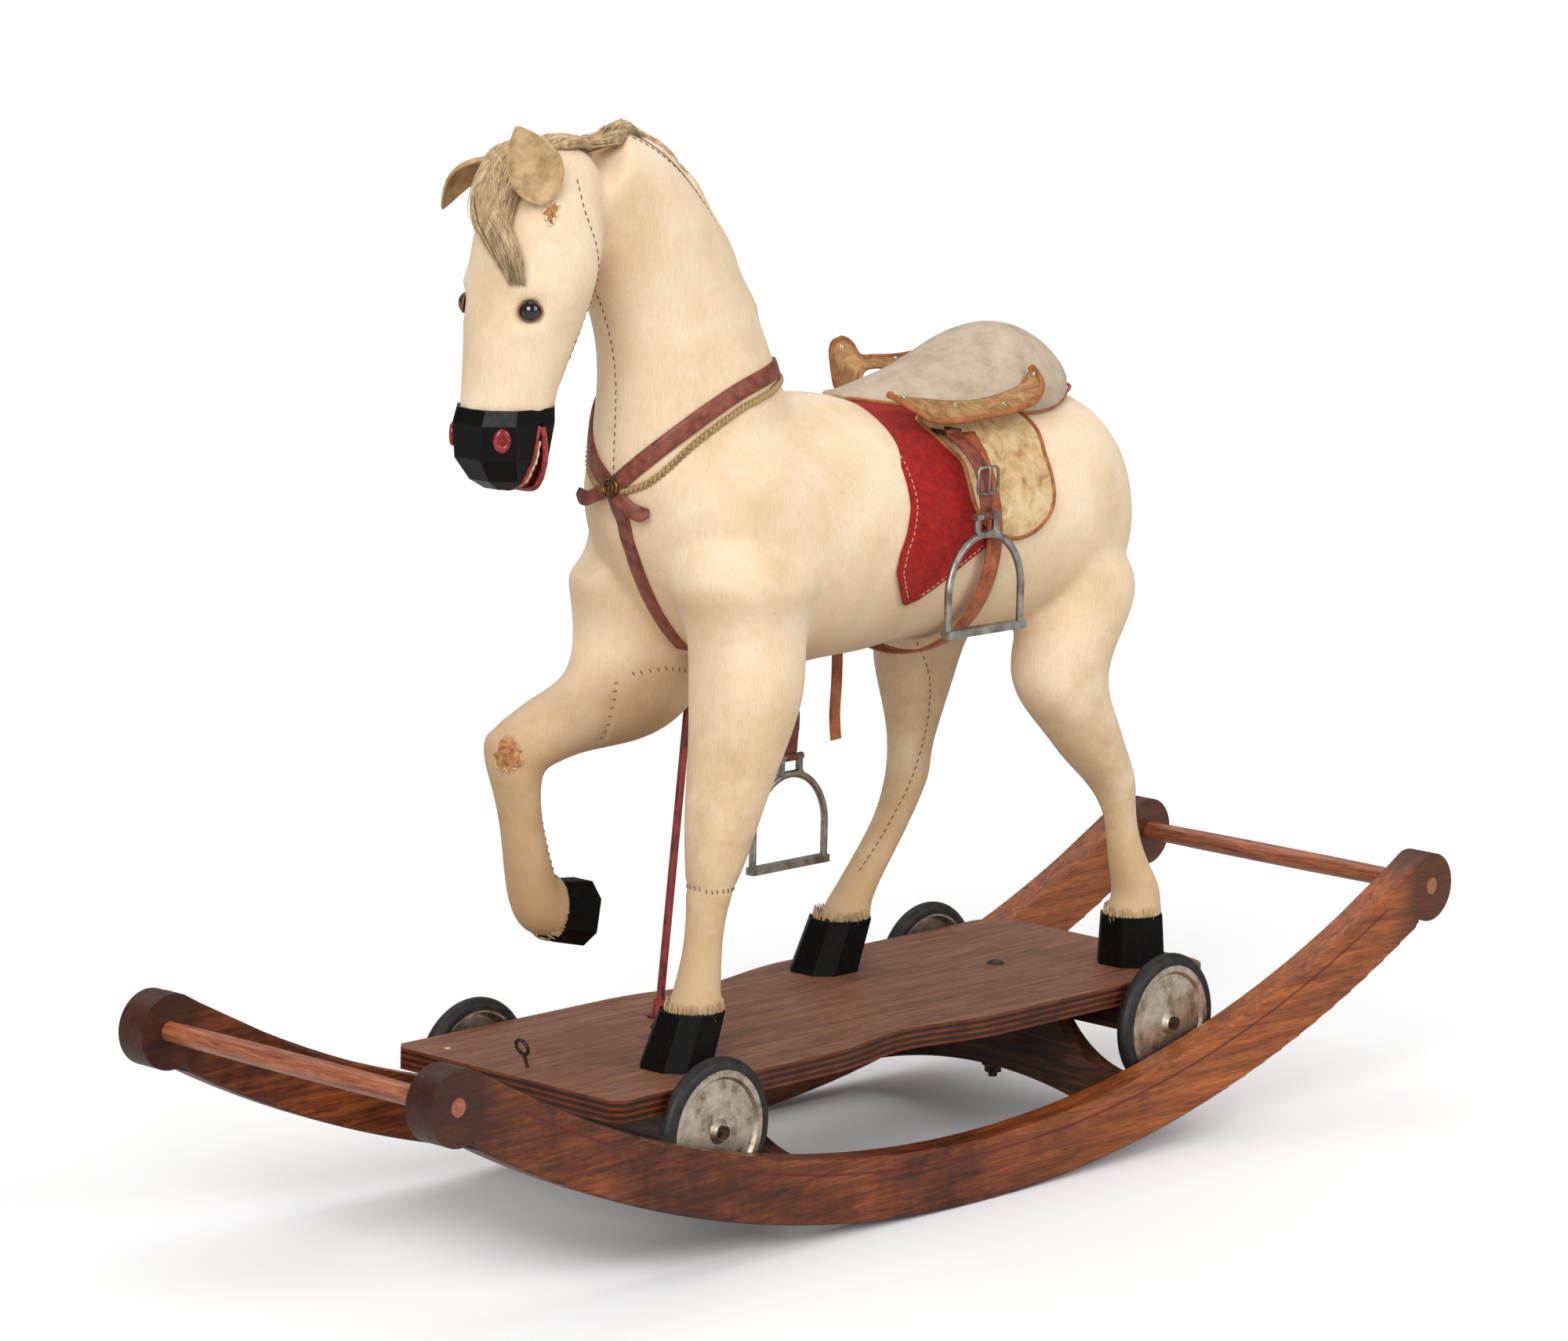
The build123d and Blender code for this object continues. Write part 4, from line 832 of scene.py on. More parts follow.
# %% [markdown]
# Metals. Nickel plate on pressed steel has gone yellow-grey, with rust by the axle. Cast
# aluminium is matt grey with a faint grain from its sand mould. Iron bolts are nearly black.
# %% Metals, paint, rubber and glass
def nickel_colour(tree):
    """Worn nickel with brown stains."""
    stain = pattern(tree, 14, Detail=6.0, Roughness=0.7)
    return ramp(tree, stain, [(0.32, "#8A7560"), (0.5, "#C9BBA8"), (0.7, "#E6DCCF")])


worn_nickel = finish("worn_nickel_plate", 0.42, noise(5, Detail=6.0), 0.08, nickel_colour, Metallic=1.0)
cast_aluminium = finish(
    "cast_aluminium", 0.42, noise(0.9, Detail=2.0), 0.12,
    tinted([(0.35, "#7E7A72"), (0.65, "#B4B0A8")], 12, Detail=5.0), Metallic=1.0,
)
oiled_iron = finish(
    "oiled_iron", 0.5, noise(1.2, Detail=4.0), 0.12,
    tinted([(0.4, "#2A2522"), (0.62, "#5E4A3C")], 4, Detail=5.0), Metallic=0.8,
)
aged_brass = finish(
    "aged_brass", 0.38, noise(2, Detail=4.0), 0.08,
    tinted([(0.35, "#4A3A26"), (0.65, "#9A7E4E")], 5, Detail=4.0), Metallic=1.0,
)
solid_rubber = finish(
    "black_solid_rubber", 0.55, noise(1.5, Detail=5.0), 0.1,
    tinted([(0.45, "#131110"), (0.75, "#2C2723")], 9, Detail=6.0),
)
red_paint = finish(
    "red_painted_rod", 0.45, None, 0.1,
    tinted([(0.36, "#3C1411"), (0.5, "#7E211B"), (0.72, "#93392E")], 6, (1, 1, 3), Detail=6.0),
)
black_paint = finish(
    "black_gloss_paint_on_carved_wood", 0.3, noise(7, Detail=4.0), 0.5,
    tinted([(0.5, "#0C0B09"), (0.70, "#12100E"), (0.78, "#6A5E4E")], 4, Detail=7.0, Roughness=0.7),
    Specular_IOR_Level=0.15,
)
hoof_paint = finish(
    "black_paint_on_carved_hoof", 0.5, noise(5, Detail=5.0), 0.5,
    tinted(
        [(0.5, "#0B0A09"), (0.70, "#141210"), (0.80, "#6E6454")], 5, (1, 1, 2), Detail=7.0,
        Roughness=0.7,
    ),
    Specular_IOR_Level=0.08,
)
black_glass = finish(
    "black_glass_eye", 0.05, None, 0.1, "#0A0807", Coat_Weight=1.0, Coat_Roughness=0.03
)
rust_rim = finish("rust_coloured_eyelid_paint", 0.5, None, 0.1, "#8A4A22")
deep_red = finish(
    "red_gloss_paint", 0.25, None, 0.1,
    tinted([(0.4, "#6E0F12"), (0.65, "#A82A2A")], 5, Detail=4.0), Coat_Weight=0.4,
)
tooth_paint = finish("cream_tooth_paint", 0.4, None, 0.1, "#CDBB9C")
print("materials so far", len(bpy.data.materials))

# %% [markdown]
# Leathers and cloths. Harness leather is smooth with dark edges and fine creases. The flaps
# are oilcloth: woven cloth under a cream coat that has cracked and rubbed brown. Felt has no
# weave, only matted fibres, so its bump is a fine tangle and its sheen is soft.
# %% Leathers, oilcloth and felt
def leather(name, light, dark, roughness=0.45):
    """Smooth strap leather: slow colour change, creases across, fine pores."""
    def creases(tree):
        return maths(tree, "MULTIPLY", pattern(tree, 5, Detail=4.0), 0.8)

    colour = tinted([(0.33, dark), (0.62, light)], 11, Detail=7.0, Roughness=0.65)
    bump = both(noise(0.8, Detail=3.0), creases)
    return finish(name, roughness, bump, 0.2, colour, Specular_IOR_Level=0.4)


strap_leather = leather("red_brown_bridle_leather", "#8C4A36", "#5C281C")
girth_leather = leather("orange_brown_girth_leather", "#B5673A", "#843C1C")
binding_leather = leather("tan_binding_leather", "#AC6A34", "#74401C", 0.5)
tan_suede = leather("tan_suede", "#C9AB80", "#9E7E54", 0.85)
oilcloth = finish(
    "cracked_cream_oilcloth", 0.5, both(noise(1.1, Detail=2.0), noise(14, Detail=7.0)), 0.3,
    tinted([(0.30, "#8E6236"), (0.42, "#BD9762"), (0.56, "#D3B584"), (0.7, "#DFC8A2")],
           17, Detail=8.0, Roughness=0.7, Distortion=0.7),
)
red_felt = finish(
    "red_wool_felt", 0.95, both(noise(1.0, Detail=4.0, Distortion=1.5), noise(5, Detail=3.0)), 0.5,
    tinted([(0.3, "#7C1411"), (0.55, "#9E1C17"), (0.75, "#AE2A22")], 6, Detail=6.0, Roughness=0.7),
    Specular_IOR_Level=0.15, Sheen_Weight=0.08, Sheen_Roughness=0.5,
)
rubbed_oilcloth = finish(
    "rubbed_brown_oilcloth", 0.5, both(noise(1.1, Detail=2.0), noise(9, Detail=7.0)), 0.3,
    tinted([(0.32, "#74481F"), (0.5, "#A0733F"), (0.68, "#BE9560")],
           10, Detail=8.0, Roughness=0.7, Distortion=0.7),
)
seat_felt = finish(
    "grey_white_wool_felt", 0.95,
    both(noise(1.3, Detail=4.0, Distortion=1.5), noise(11, Detail=3.0)), 0.6,
    tinted([(0.28, "#A08B72"), (0.5, "#B7A48C"), (0.72, "#C3B49E")], 26, Detail=7.0, Roughness=0.7),
    Sheen_Weight=0.1, Sheen_Roughness=0.5,
)
blond_hair = finish(
    "blond_horsehair", 0.6, None, 0.1,
    tinted([(0.3, "#9A7A50"), (0.55, "#C4A67A"), (0.75, "#DCC6A0")], 5, (1, 1, 4), Detail=3.0),
    Sheen_Weight=0.2,
)
print("materials so far", len(bpy.data.materials))

# %% [markdown]
# The hard pieces stay as the solids made them. Each takes its material by assignment to its
# mesh's slots, and corners that were filed or worn keep their solid rounding.
# %% Finishes for the hard pieces
def paint(material, *node_names):
    """Assigns one material to these nodes."""
    for node_name in node_names:
        obj = nodes[node_name]
        if not obj.data.materials:
            obj.data.materials.append(material)
        for index in range(len(obj.data.materials)):
            obj.data.materials[index] = material


ENDS = ("front", "rear")
paint(bow_wood, *[f"{s}_rocker_{e}" for s in SIDES for e in ENDS], "support_dowels")
paint(rung_wood, "front_rung", "rear_rung")
paint(support_wood, "front_cross_support", "rear_cross_support", "axle_bolsters")
paint(platform_ply, "platform")
paint(
    oiled_iron, "coach_bolts", "bolt_nuts", "bolt_washers", "pull_ring", "axles", "axle_washers",
    "saddle_bars",
)
paint(worn_nickel, *[f"{e}_{s}_wheel_disc" for s in SIDES for e in ENDS])
paint(solid_rubber, *[f"{e}_{s}_tyre" for s in SIDES for e in ENDS])
paint(red_paint, "prop_rod")
paint(black_paint, "muzzle", "lower_jaw")
paint(hoof_paint, "left_fore_hoof", "right_fore_hoof", "left_hind_hoof", "right_hind_hoof")
paint(black_glass, "glass_eyes")
paint(cast_aluminium, "left_stirrup_iron", "right_stirrup_iron")
paint(aged_brass, "rosette")
print("bare nodes", [n for n, o in nodes.items() if not o.data.materials])

# %% [markdown]
# The face. The eyes are glass beads with a rust-coloured painted rim. Each nostril is a red
# painted ring round a shallow hollow in the black muzzle.
# %% Eyes and nostrils
def ring(name, centre, normal, radius, thick, material, squash=1.0):
    """A torus: a small circle carried round a larger, slightly flattened one."""
    n = unit(np.array(normal, float))
    a = unit(np.cross(n, (0.0, 0.0, 1.0)))
    b = np.cross(n, a)
    big = full_turn(40)[:, None, None]
    small = full_turn(12)[None, :, None]
    reach = radius + thick * np.cos(small)
    outline = reach * np.cos(big) * a + squash * reach * np.sin(big) * b
    p = mm(centre)[0] + (outline + thick * np.sin(small) * n) * MM
    return hoop(name, p, material)


def dish(name, centre, normal, radius, depth, material, squash=1.0):
    """A round hollow or dome: depth times one minus the squared share of the radius."""
    n = unit(np.array(normal, float))
    a = unit(np.cross(n, (0.0, 0.0, 1.0)))
    b = np.cross(n, a)
    share = np.array([1.0, 0.85, 0.6, 0.3, 0.02])[:, None, None]
    angle = full_turn(28)[None, :, None]
    outline = radius * share * (np.cos(angle) * a + squash * np.sin(angle) * b)
    p = mm(centre)[0] + (outline + depth * (1 - share**2) * n) * MM
    return loft(name, p, material)


muzzle_tree = BVHTree.FromObject(nodes["muzzle"], bpy.context.evaluated_depsgraph_get())
nostril_red = finish("dull_red_mouth_paint", 0.4, None, 0.1, "#7A1210")
for side, sign in SIDES.items():
    ring(
            f"eye_rim_{side}", (-402, sign * 37, 758), (-0.72, sign * 0.9, 0.1), 9.3, 0.9,
            rust_rim, 0.8,
        )
    spot, _, _, _ = muzzle_tree.find_nearest(mm((-421, sign * 27, 657))[0])
    way = unit(np.array([-0.55, sign * 0.83, 0.0]))
    spot = np.array(spot) / MM
    ring(f"nostril_rim_{side}", spot + way * 0.4, way, 4.9, 2.3, deep_red, 1.35)
    dish(f"nostril_hollow_{side}", spot + way * 0.2, way, 4.4, 0.9, nostril_red, 1.35)
print("muzzle faces", len(nodes["muzzle"].data.polygons))

# %% [markdown]
# The mouth is a saw cut in the muzzle block. A painted lip runs along each side of the cut,
# with a beaded one behind it for the teeth, and a thin block lines the cut in dull red.
# %% Lips, teeth and mouth
def lip(name, half, radius_mm, material, bead=0.0):
    """A painted lip: a tube down one side of the mouth, under the chin and up the other; a
    bead amount swells it in regular bumps, for a row of teeth."""
    half = np.array(half, float)
    route = np.vstack([half * [1, -1, 1], half[-2::-1]])
    path = smooth_line(route * MM, 150)
    radius = radius_mm * MM * (1 + bead * np.sin(np.linspace(0, 110, 150)))
    made = closed_tube(name, path, radius, 10, material, (1, 0, 0))


lip(
    "lip_upper",
    [
        (-388.5, 35.2, 667), (-391, 35.2, 655), (-393.8, 34.4, 641), (-396, 31, 632),
        (-397.5, 26.5, 623), (-398.6, 15.5, 616.5), (-399, 0, 615.5),
    ],
    1.5, deep_red,
)
lip(
    "teeth_upper",
    [
        (-387, 33.6, 655), (-389.6, 33.4, 641), (-391.5, 30, 632),
        (-393, 25.5, 623), (-394.5, 14.5, 617.5), (-395, 0, 616.5),
    ],
    1.5, tooth_paint, 0.22,
)
lip(
    "lip_lower",
    [
        (-385.2, 35.0, 666), (-383.2, 35.3, 655), (-381.4, 34.6, 641), (-380, 31.2, 632),
        (-379, 26.8, 623), (-378.4, 18.5, 615.5), (-378.2, 0, 614.4),
    ],
    2.7, deep_red,
)
level = np.array([669, 660, 650, 640, 630, 622, 616.8])
front = -388 - (669 - level) * 12 / 65 - 0.4
back = -385 + (669 - level) * 8 / 65 + 0.4
side_y = np.interp(level, [615, 623, 641, 669], [14, 22, 29.5, 30.5])
corners = np.stack([
    np.stack([front, side_y, level], 1), np.stack([back, side_y, level], 1),
    np.stack([back, -side_y, level], 1), np.stack([front, -side_y, level], 1),
], 1) * MM
piece("mouth_lining", corners, nostril_red, wrap_cols=True, cap=True, smooth=False)


plug = dish("platform_plug", (-358, 92, 140), (0.0, 0.02, 1.0), 3.0, 0.7, tooth_paint)
print("mouth corners", len(corners))

# %% [markdown]
# The ears are cut from tan suede and curled. A leaf shape gives the half-width along its
# length; across it, the sheet bends round a circle.
# %% Suede ears
def ear(name, root, tip, open_way, width, curl, bow, node):
    """Leaf half-width is width times a skewed sine of the length; the sheet curls by curl
    radians from edge to edge about the line from root to tip."""
    root, tip = mm(root)[0], mm(tip)[0]
    axis = unit(tip - root)
    front = unit(np.array(open_way, float) - (np.array(open_way, float) @ axis) * axis)
    side = np.cross(axis, front)
    s = np.linspace(0, 1, 26)[:, None]
    half = width / 2 * MM * (np.sin(np.pi * s**0.9) ** 0.85 + 0.16 * (1 - s))
    v = np.linspace(-1, 1, 17)[None]
    bend = curl * (1 - 0.35 * s)
    across = half * np.sin(v * bend) / np.sin(bend)
    depth = half * (1 - np.cos(v * bend)) / np.sin(bend)
    sweep = bow * np.linalg.norm(tip - root) * np.sin(np.pi * s)
    base = root + s[..., None] * (tip - root)
    sheet = base + across[..., None] * side + (depth - sweep)[..., None] * front
    thickness = 1.3 * MM
    inner, outer = sheet + thickness * front, sheet - thickness * front
    obj = loft(name, np.concatenate([inner, outer[:, ::-1]], 1), tan_suede)
    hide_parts(node)


ear(
    "suede_ear_left", (-386, -37, 841), (-411, -28, 902), (-0.40, -0.90, 0.0), 42, 0.85, 0.06,
    "left_ear",
)
ear(
    "suede_ear_right", (-370, 32, 872), (-396, 70, 829), (0.12, -0.72, -0.62), 40, 0.75, 0.22,
    "right_ear",
)
print("finish", tan_suede.name)

# %% [markdown]
# Hair. One lock is a thin tube that narrows to a point. Thousands of numbers, one array:
# every strand has its own start, its own spread and its own length, from a fixed seed, so the
# result is the same each time.
# %% Strands
STRAND_ROWS = 9


def strands(name, starts, ways, lengths, droop, radius, material, seed, wander=0.12):
    """Each strand starts along its way, bends towards droop with the square of its length,
    and wanders by a slow sine of its own."""
    rng = np.random.default_rng(seed)
    n = len(starts)
    s = np.linspace(0, 1, STRAND_ROWS)[None, :, None]
    length = np.asarray(lengths, float)[:, None, None]
    path = starts[:, None] + ways[:, None] * s * length
    path = path + np.asarray(droop)[None, None] * (s**2) * length
    sway = rng.normal(size=(n, 1, 3))
    wave = sway * np.sin(s * rng.uniform(2, 5, (n, 1, 1)) + rng.uniform(0, 6, (n, 1, 1)))
    path = path + wave * length * wander * s
    along = unit(np.gradient(path, axis=1))
    side = unit(np.cross(along, np.array([0.3, 0.9, 0.2])))
    over = np.cross(side, along)
    thin = radius * (1 - 0.85 * s**1.5)
    return bundle(name, round_tubes(path, thin[..., None], side, over, 4), material)


print("rows in a strand", STRAND_ROWS)

# %% [markdown]
# Combed hair follows a line over the hide. Each strand keeps its share of the lock's width,
# so the strands lie side by side and thin out towards the tip.
# %% Forelock and the hair behind the poll
def laid_hair(name, line, half_widths, count, thick, seed, swing=0.005):
    """Strands that follow a centre line over the hide: each keeps its own share of the lock's
    half-width, its own height within the lock, and waves slowly from side to side."""
    rng = np.random.default_rng(seed)
    s = np.linspace(0, 1, STRAND_ROWS)
    centre = smooth_line(mm(*line), STRAND_ROWS)
    spread = rng.uniform(-1, 1, count)
    share = s[None] * rng.uniform(0.45, 1.0, count)[:, None] + rng.uniform(0, 0.12, count)[:, None]
    path = np.stack([np.interp(share, s, centre[:, k]) for k in range(3)], -1)
    half = np.interp(share, np.linspace(0, 1, len(half_widths)), np.array(half_widths) * MM)
    wave = swing * np.sin(5 * share + 2.5 * spread[:, None] + rng.uniform(0, 1.5, (count, 1)))
    path[..., 1] += spread[:, None] * half + wave
    ground, out = on_hide(path.reshape(-1, 3))
    ground, out = ground.reshape(path.shape), out.reshape(path.shape)
    plump = np.interp(share, [0, 0.15, 0.8, 1], [0.3, 1, 1, 0.4])
    layer = rng.uniform(0.06, 1.0, (count, 1, 1)) * plump[..., None]
    path = ground * 0.85 + path * 0.15 + out * layer * thick * MM
    along = unit(np.gradient(path, axis=1))
    side_way = unit(np.cross(along, out))
    over = np.cross(side_way, along)
    thin = 0.0008 * (1 - 0.85 * s[None] ** 2)[..., None, None]
    obj = bundle(name, round_tubes(path, thin, side_way, 0.6 * over, 4), blond_hair)
    return obj


FORELOCK = [
    (-366, 20, 884), (-380, 18, 876), (-398, 8, 852), (-410, -6, 828), (-414, -24, 806),
    (-418, -38, 780),
]
forelock = laid_hair("forelock_hair", FORELOCK, [24, 30, 27, 21, 11, 3], 1500, 12.5, 7, 0.008)
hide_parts("forelock")
POLL = [
    (-362, -6, 884), (-345, -10, 888), (-325, -12, 892), (-303, -12, 894), (-278, -9, 890),
    (-252, -6, 880),
]
laid_hair("poll_hair", POLL, [12, 17, 17, 15, 10, 3], 480, 7.5, 13, 0.003)
print("forelock faces", len(forelock.data.polygons))

# %% [markdown]
# Short hair is combed over the top of each hoof, where the hide was turned in and glued.
# %% Fringes over the hooves
def fringe(name, centre, radius_x, radius_y, count, length, seed, way=(0, 0, -1)):
    """Short hair round a leg's end, combed over the hoof's edge."""
    rng = np.random.default_rng(seed)
    angle = rng.uniform(0, 2 * np.pi, count)
    w = unit(np.array(way, float))
    a = unit(np.cross(w, (0.0, 1.0, 0.0)))
    b = np.cross(w, a)
    out = np.cos(angle)[:, None] * a + np.sin(angle)[:, None] * b
    oval = np.cos(angle)[:, None] * a * radius_x + np.sin(angle)[:, None] * b * radius_y
    starts = mm(centre)[0] + oval * MM
    starts = starts - w * rng.uniform(0, 0.006, (count, 1))
    obj = strands(
        name, starts, unit(w + 0.25 * out), rng.uniform(0.5, 1.0, count) * length * MM, w * 0.2,
        0.0006, blond_hair, seed, 0.06,
    )


fringe("fringe_left_fore", (-242, -74, 187), 23.5, 22.5, 240, 10, 1)
fringe("fringe_left_hind", (309, -74, 187), 24.5, 22.5, 240, 9, 2)
fringe("fringe_right_hind", (105, 84, 187), 23.5, 22.5, 240, 10, 3)
fringe("fringe_raised_hoof", (-266, 70, 245), 23.0, 20.0, 200, 9, 4, (0.968, 0, -0.25))

# %% [markdown]
# The mane has worn away to a stuffed roll along the crest, with a dark sewn join on its near
# side and a little fuzz left near the poll.
# %% Crest roll
CREST = [
    (-330, 0, 896), (-283, 0, 896), (-238, -2, 878), (-194, -2, 846), (-152, -2, 795),
    (-122, -2, 742), (-96, -2, 700), (-84, -1, 688),
]
crest_line = smooth_line(mm(*CREST), 300)
spot, out = on_hide(crest_line - np.array([0, 0.006, 0]))
far = np.linspace(0, 1, 300)
knot = 0.16 * np.exp(-(((far - 0.72) / 0.03) ** 2))
nick = 0.22 * np.exp(-(((far - 0.79) / 0.012) ** 2))
lumps = 1 + 0.10 * np.sin(far * 47) + knot - nick
roll_radius = 0.0078 * lumps * np.interp(far, [0, 0.08, 0.5, 0.93, 1.0], [0.45, 0.8, 1.0, 1.0, 0.25])
crest = closed_tube("crest_roll", spot - out * 0.0005, roll_radius, 14, calf_hide, (0, 1, 0))
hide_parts("mane_strip")
join, _ = on_hide(spot - np.array([0, 0.0088, 0]) - out * 0.004, 0.0002)
closed_tube("crest_join", join[8:], 0.0007, 8, waxed_thread, (0, 1, 0))
rng = np.random.default_rng(11)
count = 700
share = rng.beta(1.0, 2.6, count) * 0.5
pick = (share * 299).astype(int)
around = rng.uniform(-1.2, 0.9, count)
back = unit(np.gradient(spot, axis=0))[pick]
across = np.tile([0.0, 1.0, 0.0], (count, 1))
normal = unit(out[pick] * np.cos(around)[:, None] + across * np.sin(around)[:, None])
starts = spot[pick] + normal * (roll_radius[pick] * 0.92)[:, None]
rise = normal * rng.uniform(0.0, 0.05, (count, 1))
ways = unit(back + rise + across * (0.28 * np.sin(around)[:, None]))
length = rng.uniform(0.006, 0.013, count) * (1.15 - share)
crest_hair = strands(
    "crest_hair", starts, ways, length, (0.02, 0.0, -0.22), 0.0005, blond_hair, 12, 0.02
)
print("crest length in mm", round(travelled(spot)[-1] / MM))

# %% [markdown]
# Straps. A strap is a flat section with rounded edges, carried along a line that lies on the
# hide. The line is given by a few points, pulled onto the hide, then smoothed.
# %% Straps on the hide
def strap_on_hide(name, line, width_mm, thick_mm, material, lift_mm=0.6, count=60):
    """A band along a line on the hide, both ends closed."""
    spot, out = on_hide(smooth_line(mm(*line), count), lift_mm * MM)
    kernel = np.array([1, 2, 3, 2, 1]) / 9.0
    padded = np.pad(spot, ((2, 2), (0, 0)), mode="edge")
    spot = np.stack([np.convolve(padded[:, k], kernel, "valid") for k in range(3)], 1)
    obj = strap(name, spot, out, width_mm * MM, material, thick_mm * MM, 0.3 * MM)
    return obj


STRAP_WIDTH, STRAP_THICKNESS = 14.5, 2.4
NECK_STRAP = [
    (-266, 0, 604), (-262, -30, 630), (-236, -57, 660), (-196, -66, 682), (-148, -54, 692),
    (-106, -14, 692), (-100, 0, 692),
]
strap_left = strap_on_hide(
    "neck_strap_left", NECK_STRAP, STRAP_WIDTH, STRAP_THICKNESS, strap_leather
)
strap_on_hide(
    "neck_strap_right", mirrored(NECK_STRAP), STRAP_WIDTH, STRAP_THICKNESS, strap_leather,
)
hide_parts("neck_strap")
breast = strap_on_hide(
    "breast_strap_band",
    [(-268, 0, 606), (-258, 0, 575), (-250, 0, 545), (-236, 0, 512), (-216, 0, 480), (-190, 0, 458)],
    STRAP_WIDTH, STRAP_THICKNESS, strap_leather, 0.5,
)
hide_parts("breast_strap")
TAILS = {
    "left": [(-271, -2, 602), (-270, -12, 592), (-266, -24, 585), (-262, -33, 586)],
    "right": [(-271, 2, 602), (-273, 14, 597), (-272, 28, 592), (-268, 40, 596)],
}
for side, line in TAILS.items():
    path = smooth_line(mm(*line), 24)
    outwards = np.tile(unit(np.array([-1.0, 0.25 * SIDES[side], 0.25])), (24, 1))
    width = 0.0125 * np.interp(np.linspace(0, 1, 24), [0, 0.8, 1], [1, 1, 0.55])
    tail = strap(f"strap_tail_{side}", path, outwards, width, strap_leather)
ring("rosette_rim", (-273.6, 0, 604), (-1, 0, 0.1), 7.6, 1.5, aged_brass)
ring("rosette_ring", (-274.4, 0, 604), (-1, 0, 0.1), 4.2, 0.9, aged_brass)
print("strap width and thickness in mm", STRAP_WIDTH, STRAP_THICKNESS)

# %% [markdown]
# The saddle's flat parts lie on the barrel. A barrel section is an ellipse, so a panel's
# outline is drawn from the side and each of its points is carried out to that ellipse, plus
# the thickness of what lies beneath. Scaled copies of the outline fill the panel in.
# %% Panels laid on the barrel
def barrel_y(z, grow):
    """Half-width of the barrel at a height, grown by this much: the ellipse's equation."""
    share = np.clip((z - BARREL_MID_Z * MM) / ((BARREL_HALF_HEIGHT + grow) * MM), -0.999, 0.999)
    return (BARREL_HALF_WIDTH + grow) * MM * np.sqrt(1 - share**2)


def panel(name, outline, side, grow, thick, material, puff=0.0, ripple=0.0):
    """A panel on the barrel: rings from its middle to its rim outside, then back inside."""
    rim = smooth_loop(mm(*[(x, 0, z) for x, z in outline]), 96)
    middle = rim.mean(0)
    steps = [
        (0.02, 1), (0.25, 1), (0.5, 1), (0.75, 1), (0.9, 1), (0.97, 0.96), (1.0, 0.75),
        (1.0, 0.25), (0.97, 0), (0.75, 0), (0.5, 0), (0.02, 0),
    ]
    rows = []
    for share, level in steps:
        p = middle + (rim - middle) * share
        swell = puff * (1 - share**2) + ripple * np.sin(p[:, 0] * 140 + p[:, 2] * 60)
        p[:, 1] = side * (barrel_y(p[:, 2], grow) + (thick * level + swell * (level > 0.5)) * MM)
        rows.append(p)
    return loft(name, np.array(rows), material), rim


def edging(name, rim, side, grow, radius_mm, material):
    """A rounded binding that follows a panel's rim."""
    p = rim.copy()
    p[:, 1] = side * barrel_y(p[:, 2], grow)
    closed = np.vstack([p, p[:1]])
    points = ring_points(closed, radius_mm * MM, 8, (0, 1, 0))[:-1]
    return hoop(name, points, material)


FLAP = [
    (28, 641), (60, 645), (95, 646), (128, 645), (150, 641), (156, 625), (150, 606), (149, 588),
    (146, 568), (136, 554), (118, 543), (95, 540), (72, 546), (54, 558), (45, 574), (44, 592),
    (45, 608), (34, 624),
]
for side, sign in SIDES.items():
    flap, rim = panel(f"oilcloth_flap_{side}", FLAP, sign, 3.9, 1.7, oilcloth, 0.3, 0.15)
    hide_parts(f"{side}_saddle_flap")
    middle = rim.mean(0)
    bound = edging(
        f"flap_binding_{side}", middle + (rim - middle) * 0.985, sign, 5.2, 1.9, binding_leather
    )
print("flap rim points", len(rim))

# %% [markdown]
# The blanket is one sheet of red felt over the back. Round the barrel it follows the same
# ellipse; along it, its front edge and its low point are curves of the angle. A cream thread
# is sewn a little inside its edge.
# %% Red felt blanket
BLANKET_LOW = np.radians(119)
BLANKET_FRONT = (
    [0, 0.076, 0.139, 0.235, 0.316, 0.40, 0.55, 0.617, 0.713, 0.784, 0.857, 0.934, 1.0],
    [-64, -61, -47, -34, -27, -26, -26, -27, -35, -43, -45, -35, -24],
)
BLANKET_REAR = ([0, 0.74, 0.797, 0.852, 0.913, 0.958, 0.99, 1.0], [128, 128, 63, 40, 17, 0, -10, -20])


def barrel_point(x, angle, grow):
    """A point of the grown barrel at x, and at an angle down from its top."""
    y = (BARREL_HALF_WIDTH + grow) * np.sin(angle)
    z = BARREL_MID_Z + (BARREL_HALF_HEIGHT + 1 + grow) * np.cos(angle)
    return np.stack(np.broadcast_arrays(x, y, z), -1) * MM


angles = np.linspace(-BLANKET_LOW, BLANKET_LOW, 121)[:, None]
share = np.abs(angles) / BLANKET_LOW
x_front = np.interp(share, *BLANKET_FRONT)
x_rear = np.interp(share, *BLANKET_REAR)
u = np.concatenate([[0, 0.006], np.linspace(0.02, 0.98, 36), [0.994, 1.0]])[None]
x = x_front + (x_rear - x_front) * u
lift = 0.35 * np.sin(x / 9 + 3 * angles) + 0.35
top = barrel_point(x, angles, 2.6 + lift)
bottom = barrel_point(x, angles, 0.5 + 0 * lift)
blanket = loft("felt_blanket", np.concatenate([top, bottom[:, ::-1]], 1), red_felt)
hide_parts("saddle_blanket")
steps = np.linalg.norm(np.diff(barrel_point(x, angles, 2.0), axis=0), axis=-1)[:, :-1]
widths = np.linalg.norm(np.diff(barrel_point(x, angles, 2.0), axis=1), axis=-1)[:-1]


